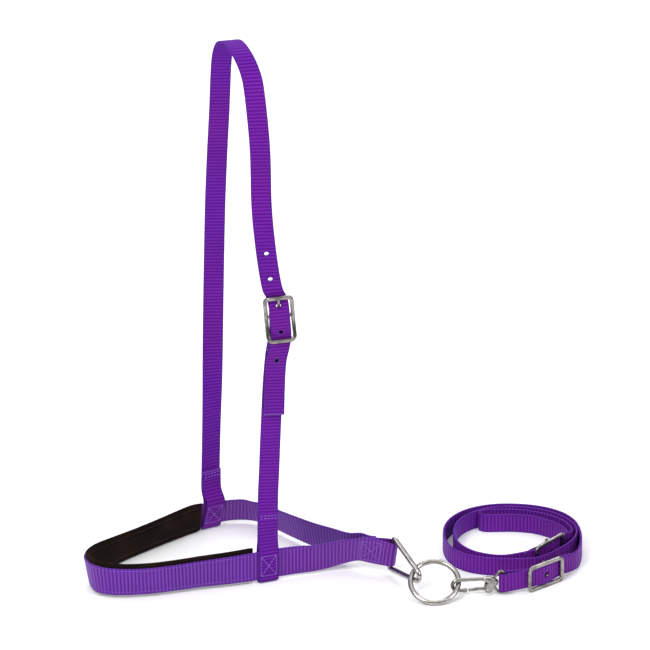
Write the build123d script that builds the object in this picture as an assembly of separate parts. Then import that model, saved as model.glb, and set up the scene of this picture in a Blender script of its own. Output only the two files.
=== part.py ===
"""Webbing noseband with a headstall and an adjustable tie-down strap.

Millimetres, +Z up. The noseband, ring and coiled tie-down strap rest on z = 0.
Positions are typed in a working frame, and CENTRE moves them to the row's origin.
"""

import os
from math import atan2, ceil, cos, radians, sin

from build123d import *

os.makedirs("parts", exist_ok=True)

CENTRE = Vector(6.1, 4.6, 0)

WEB = 1.8            # webbing thickness
LAYER = 0.15         # air between two sewn layers
NOSE_WIDTH = 25.4
HEAD_WIDTH = 15.9
TIE_WIDTH = 15.9
LINER_THICKNESS = 3.0
LINER_WIDTH = 30.0
LINER_RAISED = 0.8        # the liner shows more above the webbing than below


# ---------------------------------------------------------------- helpers

def unit_xy(yaw):
    """A unit vector in plan, at yaw degrees from +X."""
    return Vector(cos(radians(yaw)), sin(radians(yaw)), 0)


def smoothed(keys, step):
    """Stations along a smooth curve through keys, about one per step.

    A station is (centre, width vector). The curve is a cubic through the keys
    by their spacing, so a fold typed as close keys stays round.
    """
    at = [0.0]
    for a, b in zip(keys, keys[1:]):
        at.append(at[-1] + max((b[0] - a[0]).length, 0.01))
    last = len(keys) - 1

    def slope(i, part):
        lo = max(i - 1, 0)
        hi = min(i + 1, last)
        return (keys[hi][part] - keys[lo][part]) * (1 / (at[hi] - at[lo]))

    stations = [keys[0]]
    for i in range(last):
        span = at[i + 1] - at[i]
        count = max(1, ceil(span / step))
        for k in range(1, count + 1):
            s = k / count
            blend = (
                2 * s**3 - 3 * s**2 + 1,
                (s**3 - 2 * s**2 + s) * span,
                3 * s**2 - 2 * s**3,
                (s**3 - s**2) * span,
            )
            stations.append(tuple(
                keys[i][part] * blend[0] + slope(i, part) * blend[1]
                + keys[i + 1][part] * blend[2] + slope(i + 1, part) * blend[3]
                for part in (0, 1)
            ))
    return stations


def frames(stations):
    """The centre, half width vector and unit face normal at each station."""
    out = []
    last = len(stations) - 1
    for i, (centre, width) in enumerate(stations):
        along = stations[min(i + 1, last)][0] - stations[max(i - 1, 0)][0]
        out.append((centre, width * 0.5, along.cross(width).normalized()))
    return out


def ribbon(stations, thickness=WEB, offset=0.0):
    """A strip of webbing along stations, shifted by offset along its normal.

    Its four long edges are splines, cut into panels of a few stations each,
    with shared tangents so that the strip stays smooth.
    """
    rows = frames(stations)
    half = thickness / 2
    corners = [
        [c + h * side + n * (offset + out) for c, h, n in rows]
        for side, out in ((-1, -half), (1, -half), (1, half), (-1, half))
    ]
    last = len(rows) - 1
    faces = []
    for start in range(0, last, PANEL):
        end = min(start + PANEL, last)
        if last - end < 3:
            end = last
        edges = [panel_edge(points, start, end) for points in corners]
        for k in range(4):
            faces.append(Face.make_surface_from_curves(edges[k], edges[(k + 1) % 4]))
        if end == last:
            break
    for i in (0, last):
        faces.append(Face(Wire.make_polygon([points[i] for points in corners], close=True)))
    return Solid(Shell(faces))


PANEL = 7                                       # stations to a panel


def panel_edge(points, start, end):
    """One panel's edge, with the whole strip's directions at both ends."""
    last = len(points) - 1
    directions = [
        (points[min(i + 1, last)] - points[max(i - 1, 0)]).normalized() for i in (start, end)
    ]
    return Edge.make_spline(points[start:end + 1], tangents=directions)


def rod(radius, *points):
    """A round bar through points, with round joints and ends."""
    body = Sphere(radius).moved(Location(points[0]))
    for a, b in zip(points, points[1:]):
        run = b - a
        plane = Plane(origin=a, z_dir=run.normalized())
        body += plane * Cylinder(radius, run.length, align=(Align.CENTER, Align.CENTER, Align.MIN))
        body += Sphere(radius).moved(Location(b))
    return body


def wire_loop(points, bends, radius):
    """A closed loop of round wire through points, with rounded bends."""
    outline = fillet_loop(points, bends)
    start = outline @ 0
    section = Plane(origin=start, z_dir=outline % 0) * Circle(radius)
    return sweep(section, path=outline)


def fillet_loop(points, bends):
    """A closed wire of straight runs and tangent arcs, starting mid-run."""
    count = len(points)
    edges = []
    cuts = []
    for i in range(count):
        here = points[i]
        back = (points[i - 1] - here).normalized()
        ahead = (points[(i + 1) % count] - here).normalized()
        half = radians(back.get_angle(ahead)) / 2
        reach = bends[i] / (sin(half) / cos(half))
        middle = (back + ahead).normalized()
        crown = here + middle * (bends[i] / sin(half) - bends[i])
        cuts.append((here + back * reach, crown, here + ahead * reach))
    for i in range(count):
        enter, crown, leave = cuts[i]
        following = cuts[(i + 1) % count][0]
        edges.append(ThreePointArc(enter, crown, leave))
        edges.append(Line(leave, following))
    return Wire(edges[-1:] + edges[:-1])


def punched(strap, centre, direction, radius=2.0):
    """Punch a round hole through the strap."""
    plane = Plane(origin=centre, z_dir=direction)
    return strap - plane * Cylinder(radius, 12)


def save(name, shape):
    """Move a node to the row's frame, write it and keep it for the view."""
    placed = shape.moved(Location(-CENTRE))
    placed.label = name
    export_step(placed, f"parts/{name}.step")
    box = placed.bounding_box()
    print(
        f"{name:24s} volume {placed.volume:9.1f} valid {placed.is_valid} "
        f"x {box.min.X:7.1f} {box.max.X:7.1f} y {box.min.Y:7.1f} {box.max.Y:7.1f} "
        f"z {box.min.Z:7.2f} {box.max.Z:7.2f}"
    )
    return placed


# ---------------------------------------------------------------- noseband

BAR = Vector(51.4, -11.0, 19.0)                 # middle of the link's bar in the tab
BAR_UP = Vector(0.12, -0.09, 0.989).normalized()
BAR_RADIUS = 2.1
TAB_FRONT = Vector(21.2, -3.6, -3.0).cross(BAR_UP).normalized()
TAB_ALONG = BAR_UP.cross(TAB_FRONT)             # towards the ring
TAB_TWIST = 0.0087                              # lean towards the front, per mm from the bar
FOLD = BAR_RADIUS + 0.35 + WEB / 2              # webbing centre line round the bar
FOLD_WIDTH = 21.8                               # the webbing curls in a little there


def tab_up(along):
    """The direction across the tab, which twists away from the bar's."""
    return (BAR_UP - TAB_FRONT * (TAB_TWIST * min(along, 0.0))).normalized()


def tab_point(along, front):
    """A point of the tab's middle line, measured from the bar; the lower edge runs straight."""
    low = BAR - BAR_UP * (NOSE_WIDTH / 2)
    return low + TAB_ALONG * along + tab_up(along) * (NOSE_WIDTH / 2) + TAB_FRONT * front


def nose_keys(rows):
    """Stations from rows of (x, y, z) of the lower edge and (lean x, lean y)."""
    keys = []
    for x, y, z, lean_x, lean_y in rows:
        rise = (NOSE_WIDTH**2 - lean_x**2 - lean_y**2) ** 0.5
        width = Vector(lean_x, lean_y, rise)
        keys.append((Vector(x, y, z) + width * 0.5, width))
    return keys


NEAR_SIDE = [
    (14.0, -6.5, 6.6, 0.3, -6.0),
    (4.0, -7.4, 3.6, 0.0, -4.2),
    (-8.0, -10.8, 2.4, 0.0, -3.3),
    (-20.0, -14.2, 2.4, 0.0, -1.2),
    (-35.0, -18.8, 2.4, 0.0, 0.0),
    (-55.0, -25.8, 2.4, 0.0, 0.0),
    (-75.0, -31.0, 2.4, 0.0, -1.5),
    (-96.0, -35.4, 2.4, -0.5, -3.2),
    (-115.0, -40.6, 2.4, -1.0, -3.8),
    (-135.0, -45.4, 2.4, -1.0, -3.8),
    (-155.0, -47.6, 2.4, -1.0, -3.0),
    (-168.0, -46.6, 2.4, -2.4, -1.6),
    (-176.0, -42.4, 2.4, -3.6, -0.4),
    (-180.4, -35.0, 2.4, -4.4, 0.4),
    (-181.2, -27.0, 2.4, -4.4, 0.2),
    (-178.6, -17.5, 2.4, -2.0, -0.4),
    (-172.0, -6.5, 2.4, 1.0, -2.2),
]
FAR_SIDE = [
    (-163.0, 4.6, 2.4, 3.0, -3.8),
    (-152.0, 15.2, 2.4, 3.8, -4.8),
    (-136.0, 28.2, 2.4, 3.8, -4.8),
    (-120.0, 40.8, 2.4, 3.4, -4.4),
    (-106.0, 51.2, 2.4, 2.0, -5.0),
    (-89.0, 60.6, 2.4, 0.9, -7.6),
    (-76.0, 66.4, 2.4, 0.8, -9.2),
    (-64.0, 67.8, 2.4, 0.2, -9.4),
    (-54.0, 66.0, 2.4, -2.4, -10.2),
    (-44.0, 59.6, 2.4, -5.0, -7.4),
    (-33.0, 49.0, 2.4, -5.6, -5.6),
    (-19.0, 35.9, 2.4, -4.0, -5.0),
    (-6.0, 24.8, 2.8, -2.8, -4.8),
    (7.0, 14.7, 4.6, -0.8, -6.0),
    (18.0, 6.0, 7.0, 0.4, -7.4),
]


def noseband_keys():
    """Stations of the whole noseband, from the inner tab layer round to its outer end."""
    narrow = BAR_UP * FOLD_WIDTH
    pair = (WEB + LAYER) / 2
    keys = [tab_key(-24.5, -pair), tab_key(-17.0, -pair), tab_key(-12.0, -pair - 0.15)]
    for k in range(9):
        turn = radians(-105 + 210 * k / 8)
        keys.append((tab_point(FOLD * cos(turn), FOLD * sin(turn)), narrow))
    keys += [tab_key(-12.0, pair + 0.15), tab_key(-17.0, pair), tab_key(-24.5, pair)]
    keys += nose_keys(NEAR_SIDE + FAR_SIDE)
    keys += [tab_key(-25.5, -6.4), tab_key(-18.5, -3 * pair - 0.5), tab_key(-13.5, -3 * pair - 0.2)]
    return keys


def tab_key(along, front):
    return tab_point(along, front), tab_up(along) * NOSE_WIDTH


def noseband_webbing():
    return ribbon(smoothed(noseband_keys(), 6.0))


def noseband_liner():
    """Padding inside the noseband, from beside one cheek strap to beside the other."""
    rows = [r for r in NEAR_SIDE + FAR_SIDE if -100 < r[0] < -60 or r[0] <= -100]
    rows = [r for r in rows if not (r[0] > -100 and r[1] > 0)]
    rows = [(-55.4, -25.9, 2.4, 0.0, 0.0)] + rows + [(-98.0, 55.8, 2.4, 1.5, -6.2)]
    wide = []
    for centre, width in nose_keys(rows):
        raised = centre + width.normalized() * LINER_RAISED
        wide.append((raised, width * (LINER_WIDTH / NOSE_WIDTH)))
    inward = WEB / 2 + 0.15 + LINER_THICKNESS / 2
    return ribbon(smoothed(wide, 6.0), LINER_THICKNESS, inward)


# ---------------------------------------------------------------- headstall

ACROSS = Vector(-0.49, 0.87, 0).normalized()    # from the near side to the far side
NEAR_JOIN = Vector(-44.4, -22.0, 0)             # noseband centre line at the near strap
FAR_JOIN = Vector(-89.3, 60.3, 0)
BUCKLE = Vector(-35.0, -27.0, 239.6)            # middle of the cheek buckle's centre bar
BUCKLE_UP = Vector(-0.079, 0, 1).normalized()
BUCKLE_OUT = unit_xy(5).cross(BUCKLE_UP).normalized()   # away from the horse
BUCKLE_SIDE = BUCKLE_UP.cross(BUCKLE_OUT)
BUCKLE_HALF = 19.0
END_OUT = 5.6                                   # the end bars stand out from the centre bar
HOLES_Z = (293.5, 272.4, 227.5, 201.2)
TONGUE_HOLE_UP = 11.4


def head_point(out, up, side=0.0):
    """A point by the cheek buckle: out from the horse, up, and along its bars."""
    return BUCKLE + BUCKLE_OUT * out + BUCKLE_UP * up + BUCKLE_SIDE * side


def head_keys(rows):
    """Stations from rows of (x, y, z, yaw of the strap's width)."""
    return [(Vector(x, y, z), unit_xy(yaw) * HEAD_WIDTH) for x, y, z, yaw in rows]


def buckle_keys(rows):
    """Stations from rows of (out, up, side) by the cheek buckle."""
    return [(head_point(*row), BUCKLE_SIDE * HEAD_WIDTH) for row in rows]


def wrap_keys(join, side, yaw, lean, room):
    """Stations of a strap's end passing down, under and up round the noseband."""
    gap = WEB + room
    base = gap + WEB / 2 + 0.15
    rows = [(side * gap - lean, 27.0), (side * gap - lean * 0.4, 12.0)]
    rows += [(side * gap - lean * 0.17, 6.5), (side * gap - lean * 0.08, 4.8)]
    for k in range(9):
        turn = radians(180 * k / 8)
        rows.append((side * gap * cos(turn), base - gap * sin(turn)))
    rows += [(-side * gap - lean * 0.08, 4.8), (-side * gap - lean * 0.17, 6.5)]
    rows += [(-side * gap - lean * 0.4, 12.0), (-side * gap - lean, 27.0)]
    width = unit_xy(yaw) * HEAD_WIDTH
    return [(join + ACROSS * across + Vector(0, 0, z), width) for across, z in rows]


NEAR_ROWS = [
    (-37.9, -24.6, 207.0, 5),
    (-39.0, -24.4, 195.0, 5),
    (-40.3, -24.0, 175.0, 5),
    (-41.5, -23.4, 145.0, 5),
    (-42.2, -22.9, 127.0, 5),
    (-43.1, -22.3, 100.0, 5),
    (-43.9, -22.2, 80.0, 5),
    (-44.1, -22.3, 66.0, 6),
    (-44.1, -22.6, 50.0, 12),
    (-43.9, -23.0, 37.0, 18),
]
NEAR_END = [(-44.8, -20.4, 37.0, 18), (-44.5, -20.7, 48.0, 13), (-44.4, -20.4, 62.0, 7.5)]
CROWN_TAIL = [
    (-39.2, -27.4, 152.0, 4),
    (-38.7, -27.4, 175.0, 4),
    (-37.5, -28.4, 199.0, 4),
]
CROWN_ROWS = [
    (-41.9, -27.0, 271.5, 6),
    (-44.4, -25.4, 288.4, 5),
    (-46.3, -22.6, 304.4, 4),
    (-47.9, -19.5, 320.4, 3),
    (-48.9, -16.5, 337.0, 3),
    (-49.2, -13.8, 355.0, 3),
    (-49.6, -12.0, 372.0, 3),
    (-50.5, -10.6, 388.0, 3),
    (-52.0, -8.2, 405.0, 4),
    (-53.6, -4.6, 419.5, 6),
    (-56.0, 1.5, 433.2, 8),
    (-60.4, 9.3, 443.0, 11),
    (-65.8, 18.5, 448.8, 12),
    (-71.2, 28.1, 450.2, 12),
    (-75.6, 35.9, 445.8, 8),
    (-78.4, 41.3, 434.8, 5),
    (-79.7, 44.1, 421.0, 3),
    (-80.4, 45.4, 404.0, 2),
    (-81.2, 46.4, 380.0, 1),
    (-82.8, 48.0, 345.0, 1),
    (-84.5, 51.0, 298.0, 1),
    (-85.5, 53.8, 250.0, 1),
    (-86.2, 55.8, 206.0, 2),
    (-86.8, 57.0, 160.0, 5),
    (-87.2, 57.6, 128.0, 15),
    (-87.8, 58.0, 100.0, 24),
    (-88.3, 58.2, 76.0, 27),
    (-88.7, 57.8, 52.0, 27),
    (-88.7, 57.0, 37.0, 26),
]
CROWN_END = [(-87.5, 54.6, 37.0, 26), (-87.9, 55.8, 45.0, 27), (-87.9, 56.0, 54.0, 27)]


def near_cheek_strap():
    """The lower near strap: sewn round the buckle's bar and round the noseband."""
    fold = 1.6 + 0.3 + WEB / 2
    rows = [(-0.82, -30, -3.9), (-0.82, -20, -2.6), (-0.4, -12, -0.8)]
    for k in range(9):
        turn = radians(-20 + 200 * k / 8)
        rows.append((fold * cos(turn), fold * sin(turn), 0))
    rows += [(-2.8, -12, -0.8), (-2.8, -22, -2.9)]
    keys = buckle_keys(rows) + head_keys(NEAR_ROWS)
    keys += wrap_keys(NEAR_JOIN, -1, 19.3, 0.0, 0.45) + head_keys(NEAR_END)
    strap = ribbon(smoothed(keys, 6.0))
    slot = Plane(origin=head_point(2.0, 1.0), x_dir=BUCKLE_SIDE, z_dir=BUCKLE_UP)
    return strap - slot * Box(4.2, 16.0, 9.4)


def crown_keys():
    """Stations of the long strap: tail, buckle, over the poll and down to the far side."""
    inside = [
        (2.2, -27, -2.2), (2.2, -18.8, -0.3), (4.2, -9, 0), (4.8, 0, 0), (4.2, 9, 0), (3.3, 13.6, -0.2),
        (2.2, 18.8, -1.2), (1.9, 24, -3.2),
    ]
    keys = head_keys(CROWN_TAIL) + buckle_keys(inside) + head_keys(CROWN_ROWS)
    return keys + wrap_keys(FAR_JOIN, 1, 25.5, 7.0, 0.8) + head_keys(CROWN_END)


def crown_strap():
    """The long strap, with its round holes and the slot that the tongue passes through."""
    keys = crown_keys()
    strap = ribbon(smoothed(keys, 6.0))
    for z in HOLES_Z:
        strap = punched(strap, crown_at(keys, z), BUCKLE_OUT)
    origin = crown_at(keys, BUCKLE.Z + TONGUE_HOLE_UP)
    slot = Plane(origin=origin, x_dir=BUCKLE_SIDE, z_dir=BUCKLE_UP)
    return strap - slot * Box(3.8, 8.0, 9.6)


def crown_at(keys, z):
    """The middle of the crown strap's near leg at height z."""
    for (a, _), (b, _) in zip(keys, keys[1:]):
        if a.Z <= z <= b.Z:
            return a + (b - a) * ((z - a.Z) / (b.Z - a.Z))
    raise ValueError(z)


def cheek_buckle_frame():
    """A bowed three-bar buckle frame."""
    rail = 10.4
    corner = 3.6
    frame = rod(1.6, head_point(0, 0, -rail), head_point(0, 0, rail))
    for end in (-1, 1):
        frame += rod(
            1.7,
            head_point(END_OUT, end * BUCKLE_HALF, -rail + corner),
            head_point(END_OUT, end * BUCKLE_HALF, rail - corner),
        )
    for side in (-1, 1):
        for end in (-1, 1):
            frame += rod(
                1.7,
                head_point(0, 0, side * rail),
                head_point(2.0, end * 7.5, side * rail),
                head_point(END_OUT - 1.2, end * (BUCKLE_HALF - corner), side * rail),
                head_point(END_OUT - 0.3, end * (BUCKLE_HALF - 1.1), side * (rail - 1.1)),
                head_point(END_OUT, end * BUCKLE_HALF, side * (rail - corner)),
            )
    return frame


def cheek_buckle_tongue():
    """The pin on the centre bar, through the strap's hole and over the top bar."""
    eye = Plane(origin=head_point(0, 0), z_dir=BUCKLE_SIDE)
    hub = eye * (Cylinder(3.3, 3.2) - Cylinder(1.68, 4))
    pin = rod(
        1.2,
        head_point(2.2, 1.2),
        head_point(2.3, 6.5),
        head_point(3.6, 10.5),
        head_point(END_OUT + 1.4, 14.8),
        head_point(END_OUT + 3.5, 19.2),
    )
    return (hub + pin) - eye * Cylinder(1.68, 6)


# ---------------------------------------------------------------- link and ring

RING_RADIUS = 18.55
RING_WIRE = 2.1
RING_TILT = 28.5
RING = Vector(84.6, -42.0, 10.95)
RING_ACROSS = Vector(0, cos(radians(RING_TILT)), sin(radians(RING_TILT)))
LINK_ANGLE = 151.5
SNAP_ANGLE = -9.0


def ring_point(angle):
    turn = radians(angle)
    return RING + Vector(1, 0, 0) * (RING_RADIUS * cos(turn)) + RING_ACROSS * (RING_RADIUS * sin(turn))


def ring_tangent(angle):
    turn = radians(angle)
    return (Vector(-1, 0, 0) * sin(turn) + RING_ACROSS * cos(turn)).normalized()


LINK_RUN = ring_point(LINK_ANGLE) - BAR
LINK_RUN = (LINK_RUN - BAR_UP * LINK_RUN.dot(BAR_UP)).normalized()
LINK_HEIGHT = (ring_point(LINK_ANGLE) - BAR).length + BAR_RADIUS + RING_WIRE + 4.5
LINK_HALF_BAR = 14.6
LINK_BEND = 4.8                                 # centre line radius round the ring


def triangle_link():
    """A wire triangle, its bar in the tab and its point round the ring."""
    slope = atan2(LINK_HALF_BAR, LINK_HEIGHT + 8.0)
    sharp = BAR + LINK_RUN * (LINK_HEIGHT + LINK_BEND / sin(slope) - LINK_BEND)
    corners = [BAR - BAR_UP * LINK_HALF_BAR, BAR + BAR_UP * LINK_HALF_BAR, sharp]
    return wire_loop(corners, [2.3, 2.3, LINK_BEND], BAR_RADIUS)


def noseband_ring():
    plane = Plane(origin=RING, x_dir=(1, 0, 0), z_dir=Vector(1, 0, 0).cross(RING_ACROSS))
    return plane * Torus(RING_RADIUS, RING_WIRE)


# ---------------------------------------------------------------- snap hook

SNAP = ring_point(SNAP_ANGLE)
SNAP_AXIS = Vector(0.993, 0.115, 0).normalized()
SNAP_SIDE = Vector(-SNAP_AXIS.Y, SNAP_AXIS.X, 0)
EYE = 35.3                                      # from the ring's wire to the eye's bar
EYE_LOW = 1.1
EYE_HIGH = 19.9
EYE_BAR_RADIUS = 1.6
HOOK_BEND = 4.6
HOOK_WIRE = 1.4
HOOK_TOP = SNAP.Z + HOOK_BEND
GATE_Z = SNAP.Z - 4.3
PIN_AT = 23.0


def snap_point(along, z, side=0.0):
    return Vector(SNAP.X, SNAP.Y, 0) + SNAP_AXIS * along + SNAP_SIDE * side + Vector(0, 0, z)


def snap_plate(outline, thickness, side=0.0):
    """A flat plate of the casting, from (along, z) points, centred at side."""
    face = Plane(origin=snap_point(0, 0, side), x_dir=SNAP_AXIS, z_dir=-SNAP_SIDE)
    plate = extrude(make_face(Polyline(*outline, close=True)), thickness / 2, both=True)
    return face * plate


def snap_hook_body():
    """The cast hook, its cheeks for the gate, and the strap eye."""
    mid = SNAP.Z
    hook = [
        snap_point(HOOK_BEND * cos(radians(a)), mid + HOOK_BEND * sin(radians(a)))
        for a in range(90, 271, 30)
    ]
    body = rod(HOOK_WIRE, snap_point(25.2, HOOK_TOP - 0.4), snap_point(12.0, HOOK_TOP), *hook)
    body += rod(HOOK_WIRE, hook[-1], snap_point(3.0, mid - 4.9))
    body += Sphere(1.8).moved(Location(snap_point(5.0, mid - 5.0)))
    body += snap_plate(
        [(23.4, HOOK_TOP - 2.2), (23.4, HOOK_TOP + 1.1), (26.6, HOOK_TOP + 0.7), (29.4, 13.4),
         (29.4, 7.6), (27.1, 6.0), (26.5, GATE_Z + 3.2), (25.9, 9.4)],
        4.6,
    )
    for side in (-1, 1):
        body += snap_plate(
            [(20.5, GATE_Z - 1.4), (21.1, GATE_Z + 1.6), (23.1, HOOK_TOP - 1.0), (27.5, HOOK_TOP - 1.4),
             (28.1, 6.6), (25.5, GATE_Z - 1.6), (23.1, GATE_Z - 2.4)],
            1.3, side * 2.45,
        )
    for z, turn in ((EYE_LOW, -1), (EYE_HIGH, 1)):
        body += rod(
            1.1,
            snap_point(EYE - 8.0, 10.5 + turn * 1.6),
            snap_point(EYE - 6.6, 10.5 + turn * 6.2),
            snap_point(EYE - 5.0, z - turn * 0.7),
            snap_point(EYE - 3.0, z),
            snap_point(EYE, z),
        )
    body += rod(EYE_BAR_RADIUS, snap_point(EYE, EYE_LOW + 0.5), snap_point(EYE, EYE_HIGH - 0.5))
    pin_hole = Plane(origin=snap_point(PIN_AT, GATE_Z), z_dir=SNAP_SIDE) * Cylinder(0.9, 12)
    return body - pin_hole


def snap_gate():
    """The gate bar and its knuckle, resting short of the hook's ball tip."""
    knuckle = Plane(origin=snap_point(PIN_AT, GATE_Z), z_dir=SNAP_SIDE)
    gate = knuckle * Cylinder(2.2, 3.0)
    gate += rod(1.2, snap_point(PIN_AT - 1.5, GATE_Z), snap_point(8.7, GATE_Z - 0.4))
    return gate - knuckle * Cylinder(0.95, 6)


def snap_gate_pin():
    return Plane(origin=snap_point(PIN_AT, GATE_Z), z_dir=SNAP_SIDE) * Cylinder(0.9, 6.6)


# ---------------------------------------------------------------- tie-down strap

BUCKLE_LENGTH = 34.0
BUCKLE_HEIGHT = 22.6
BUCKLE_BARS = 1.5
SNAP_BUCKLE = (Vector(170.6, -30.6, 0), 36.5)
END_BUCKLE = (Vector(174.2, 3.4, 0), 47.7)
RAISED = 3.35                                   # lower edge inside a buckle


def buckle_point(buckle, along, out, z=0.0):
    """A point by a tie-down buckle: along the strap, outward and up."""
    centre, yaw = buckle
    run = unit_xy(yaw)
    outward = Vector(run.Y, -run.X, 0)
    return centre + run * along + outward * out + Vector(0, 0, z)


def through_buckle(buckle, layer):
    """Plan points of one strap layer through a buckle, left to right."""
    drop = layer * (WEB + 0.3)
    return [
        buckle_point(buckle, -15.4, -2.75 - drop),
        buckle_point(buckle, -8.0, -1.1 - drop),
        buckle_point(buckle, 0.0, 0.5 - drop),
        buckle_point(buckle, 8.0, -1.1 - drop),
        buckle_point(buckle, 15.4, -2.75 - drop),
    ]


def tie_down_keys():
    """Stations of the strap: tail, snap fold, two turns, end loop and second tail."""
    eye = Vector(snap_point(EYE, 0).X, snap_point(EYE, 0).Y, 0)
    fold = EYE_BAR_RADIUS + 0.35 + WEB / 2
    first = [(v, RAISED) for v in through_buckle(SNAP_BUCKLE, 1)]
    keys = [(Vector(189.6, -8.6, 0), 1.4)] + first[::-1]
    for k in range(9):
        turn = radians(112 + 180 * k / 8)
        keys.append((eye + Vector(fold * cos(turn), fold * sin(turn), 0), 2.5))
    keys += [(v, RAISED) for v in through_buckle(SNAP_BUCKLE, 0)]
    low = [
        (194.2, -5.0, 1.0), (197.8, 10.0, 0.1), (198.0, 26.0), (194.0, 43.0), (184.5, 56.0), (169.0, 65.0),
        (149.0, 69.2), (129.0, 68.4), (111.0, 61.6), (98.6, 49.6), (92.8, 35.0), (92.6, 19.0),
        (97.0, 5.0), (107.0, -6.0), (121.0, -12.0), (139.0, -14.2), (153.0, -14.2), (163.0, -12.4),
        (172.5, -6.8), (182.0, 2.4), (189.8, 12.0), (194.4, 23.0), (194.6, 34.0), (189.6, 44.6),
        (180.6, 54.0), (167.0, 61.4), (149.0, 65.4), (131.0, 64.6), (115.6, 57.8), (105.4, 47.6),
        (100.6, 34.6), (100.4, 20.6), (104.6, 8.6), (113.4, -1.2), (126.0, -7.2), (140.0, -9.6, 0.7),
    ]
    keys += [(Vector(x, y, 0), z[0] if z else 0.1) for x, y, *z in low]
    keys += [(v, RAISED) for v in through_buckle(END_BUCKLE, 0)]
    loop = [
        (191.2, 27.0, 1.0), (190.0, 36.0), (183.4, 45.6), (173.0, 53.0), (160.0, 58.4), (146.0, 61.2),
        (132.0, 61.2), (124.6, 60.4), (120.4, 58.4), (120.0, 55.4), (123.6, 53.2), (132.0, 53.0),
        (146.0, 53.2), (160.0, 51.0), (171.0, 46.0), (180.4, 39.0), (186.4, 31.0), (187.0, 24.4, 1.0),
    ]
    keys += [(Vector(x, y, 0), z[0] if z else 0.1) for x, y, *z in loop]
    keys += [(v, RAISED) for v in through_buckle(END_BUCKLE, 1)[::-1]]
    keys.append((buckle_point(END_BUCKLE, -24.0, -5.4), 2.6))
    up = Vector(0, 0, TIE_WIDTH)
    return [(v + Vector(0, 0, z) + up * 0.5, up) for v, z in keys]


def tie_down_webbing():
    strap = ribbon(smoothed(tie_down_keys(), 5.0))
    for buckle in (SNAP_BUCKLE, END_BUCKLE):
        centre = buckle_point(buckle, 0, 0, RAISED + TIE_WIDTH / 2)
        outward = buckle_point(buckle, 0, 1) - buckle_point(buckle, 0, 0)
        plane = Plane(origin=centre, z_dir=outward)
        strap = strap - plane * Cylinder(2.0, 14)
    return strap


def tie_buckle(buckle):
    """A flat centre-bar buckle with a fixed prong."""
    low = BUCKLE_BARS
    high = BUCKLE_HEIGHT - BUCKLE_BARS
    end = BUCKLE_LENGTH / 2 - BUCKLE_BARS
    corners = [
        buckle_point(buckle, -end, 0, low),
        buckle_point(buckle, -end, 0, high),
        buckle_point(buckle, end, 0, high),
        buckle_point(buckle, end, 0, low),
    ]
    frame = wire_loop(corners, [2.6] * 4, BUCKLE_BARS)
    back = 0.5 - (WEB + 0.3) - WEB / 2 - 0.3 - 1.2
    frame += rod(
        1.2,
        buckle_point(buckle, 0, 0, low),
        buckle_point(buckle, 0, back, low + 0.1),
        buckle_point(buckle, 0, back, high - 0.1),
        buckle_point(buckle, 0, 0, high),
    )
    middle = RAISED + TIE_WIDTH / 2
    frame += rod(1.2, buckle_point(buckle, 0, back, middle), buckle_point(buckle, 0, 1.6, middle))
    return frame


# ---------------------------------------------------------------- stitching

THREAD = 0.35


def box_stitch(centre, along, up, half_long, half_tall, front, back):
    """A sewn box with a cross: thread on both faces, joined through the layers."""
    along = along.normalized()
    up = up.normalized()
    out = along.cross(up)
    corners = [(-1, -1), (1, -1), (1, 1), (-1, 1)]

    def point(corner, depth):
        return centre + along * (corner[0] * half_long) + up * (corner[1] * half_tall) + out * depth

    sewn = rod(THREAD, *[point(c, front) for c in corners], point(corners[0], front))
    sewn += rod(THREAD, point(corners[0], front), point(corners[2], front))
    sewn += rod(THREAD, point(corners[1], front), point(corners[3], front))
    sewn += rod(THREAD, *[point(c, back) for c in corners], point(corners[0], back))
    for corner in corners:
        sewn += rod(THREAD, point(corner, front), point(corner, back))
    return sewn


def near_junction_stitching():
    middle = NEAR_JOIN + Vector(0, 0, 15.5)
    return box_stitch(middle, unit_xy(19.3), Vector(0, 0, 1), 6.2, 8.6, 3.2, -3.2)


def far_junction_stitching():
    lean = ACROSS * -2.9 + Vector(0, 0, 11.0)
    middle = FAR_JOIN + ACROSS * -2.9 + Vector(0, 0, 15.5)
    return box_stitch(middle, unit_xy(25.5), lean, 6.2, 8.6, 3.45, -3.45)


def tab_stitching():
    middle = tab_point(-15.9, -0.9)
    return box_stitch(middle, TAB_ALONG, tab_up(-15.9), 8.0, 9.6, 2.85, -2.9)


def buckle_fold_stitching():
    middle = head_point(-1.8, -24.6, -3.0)
    return box_stitch(middle, unit_xy(5), Vector(0, 0, 1), 6.0, 3.5, 2.0, -2.0)


# ---------------------------------------------------------------- build

def main():
    nodes = {
        "noseband_webbing": noseband_webbing(),
        "noseband_liner": noseband_liner(),
        "near_cheek_strap": near_cheek_strap(),
        "crown_strap": crown_strap(),
        "cheek_buckle_frame": cheek_buckle_frame(),
        "cheek_buckle_tongue": cheek_buckle_tongue(),
        "triangle_link": triangle_link(),
        "noseband_ring": noseband_ring(),
        "snap_hook_body": snap_hook_body(),
        "snap_gate": snap_gate(),
        "snap_gate_pin": snap_gate_pin(),
        "tie_down_webbing": tie_down_webbing(),
        "snap_end_buckle": tie_buckle(SNAP_BUCKLE),
        "loop_end_buckle": tie_buckle(END_BUCKLE),
        "near_junction_stitching": near_junction_stitching(),
        "far_junction_stitching": far_junction_stitching(),
        "tab_stitching": tab_stitching(),
        "buckle_fold_stitching": buckle_fold_stitching(),
    }
    return {name: save(name, shape) for name, shape in nodes.items()}


NODES = main()
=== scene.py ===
"""Looks of the webbing noseband, its headstall and its tie-down strap.

Shapes are typed in millimetres in part.py's working frame. to_row moves a point
to the row frame, in metres.
"""

from math import atan2, ceil, cos, exp, pi, radians, sin, sqrt, tan

import bpy
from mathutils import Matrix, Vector
from mathutils.bvhtree import BVHTree
from mathutils.noise import noise


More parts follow.
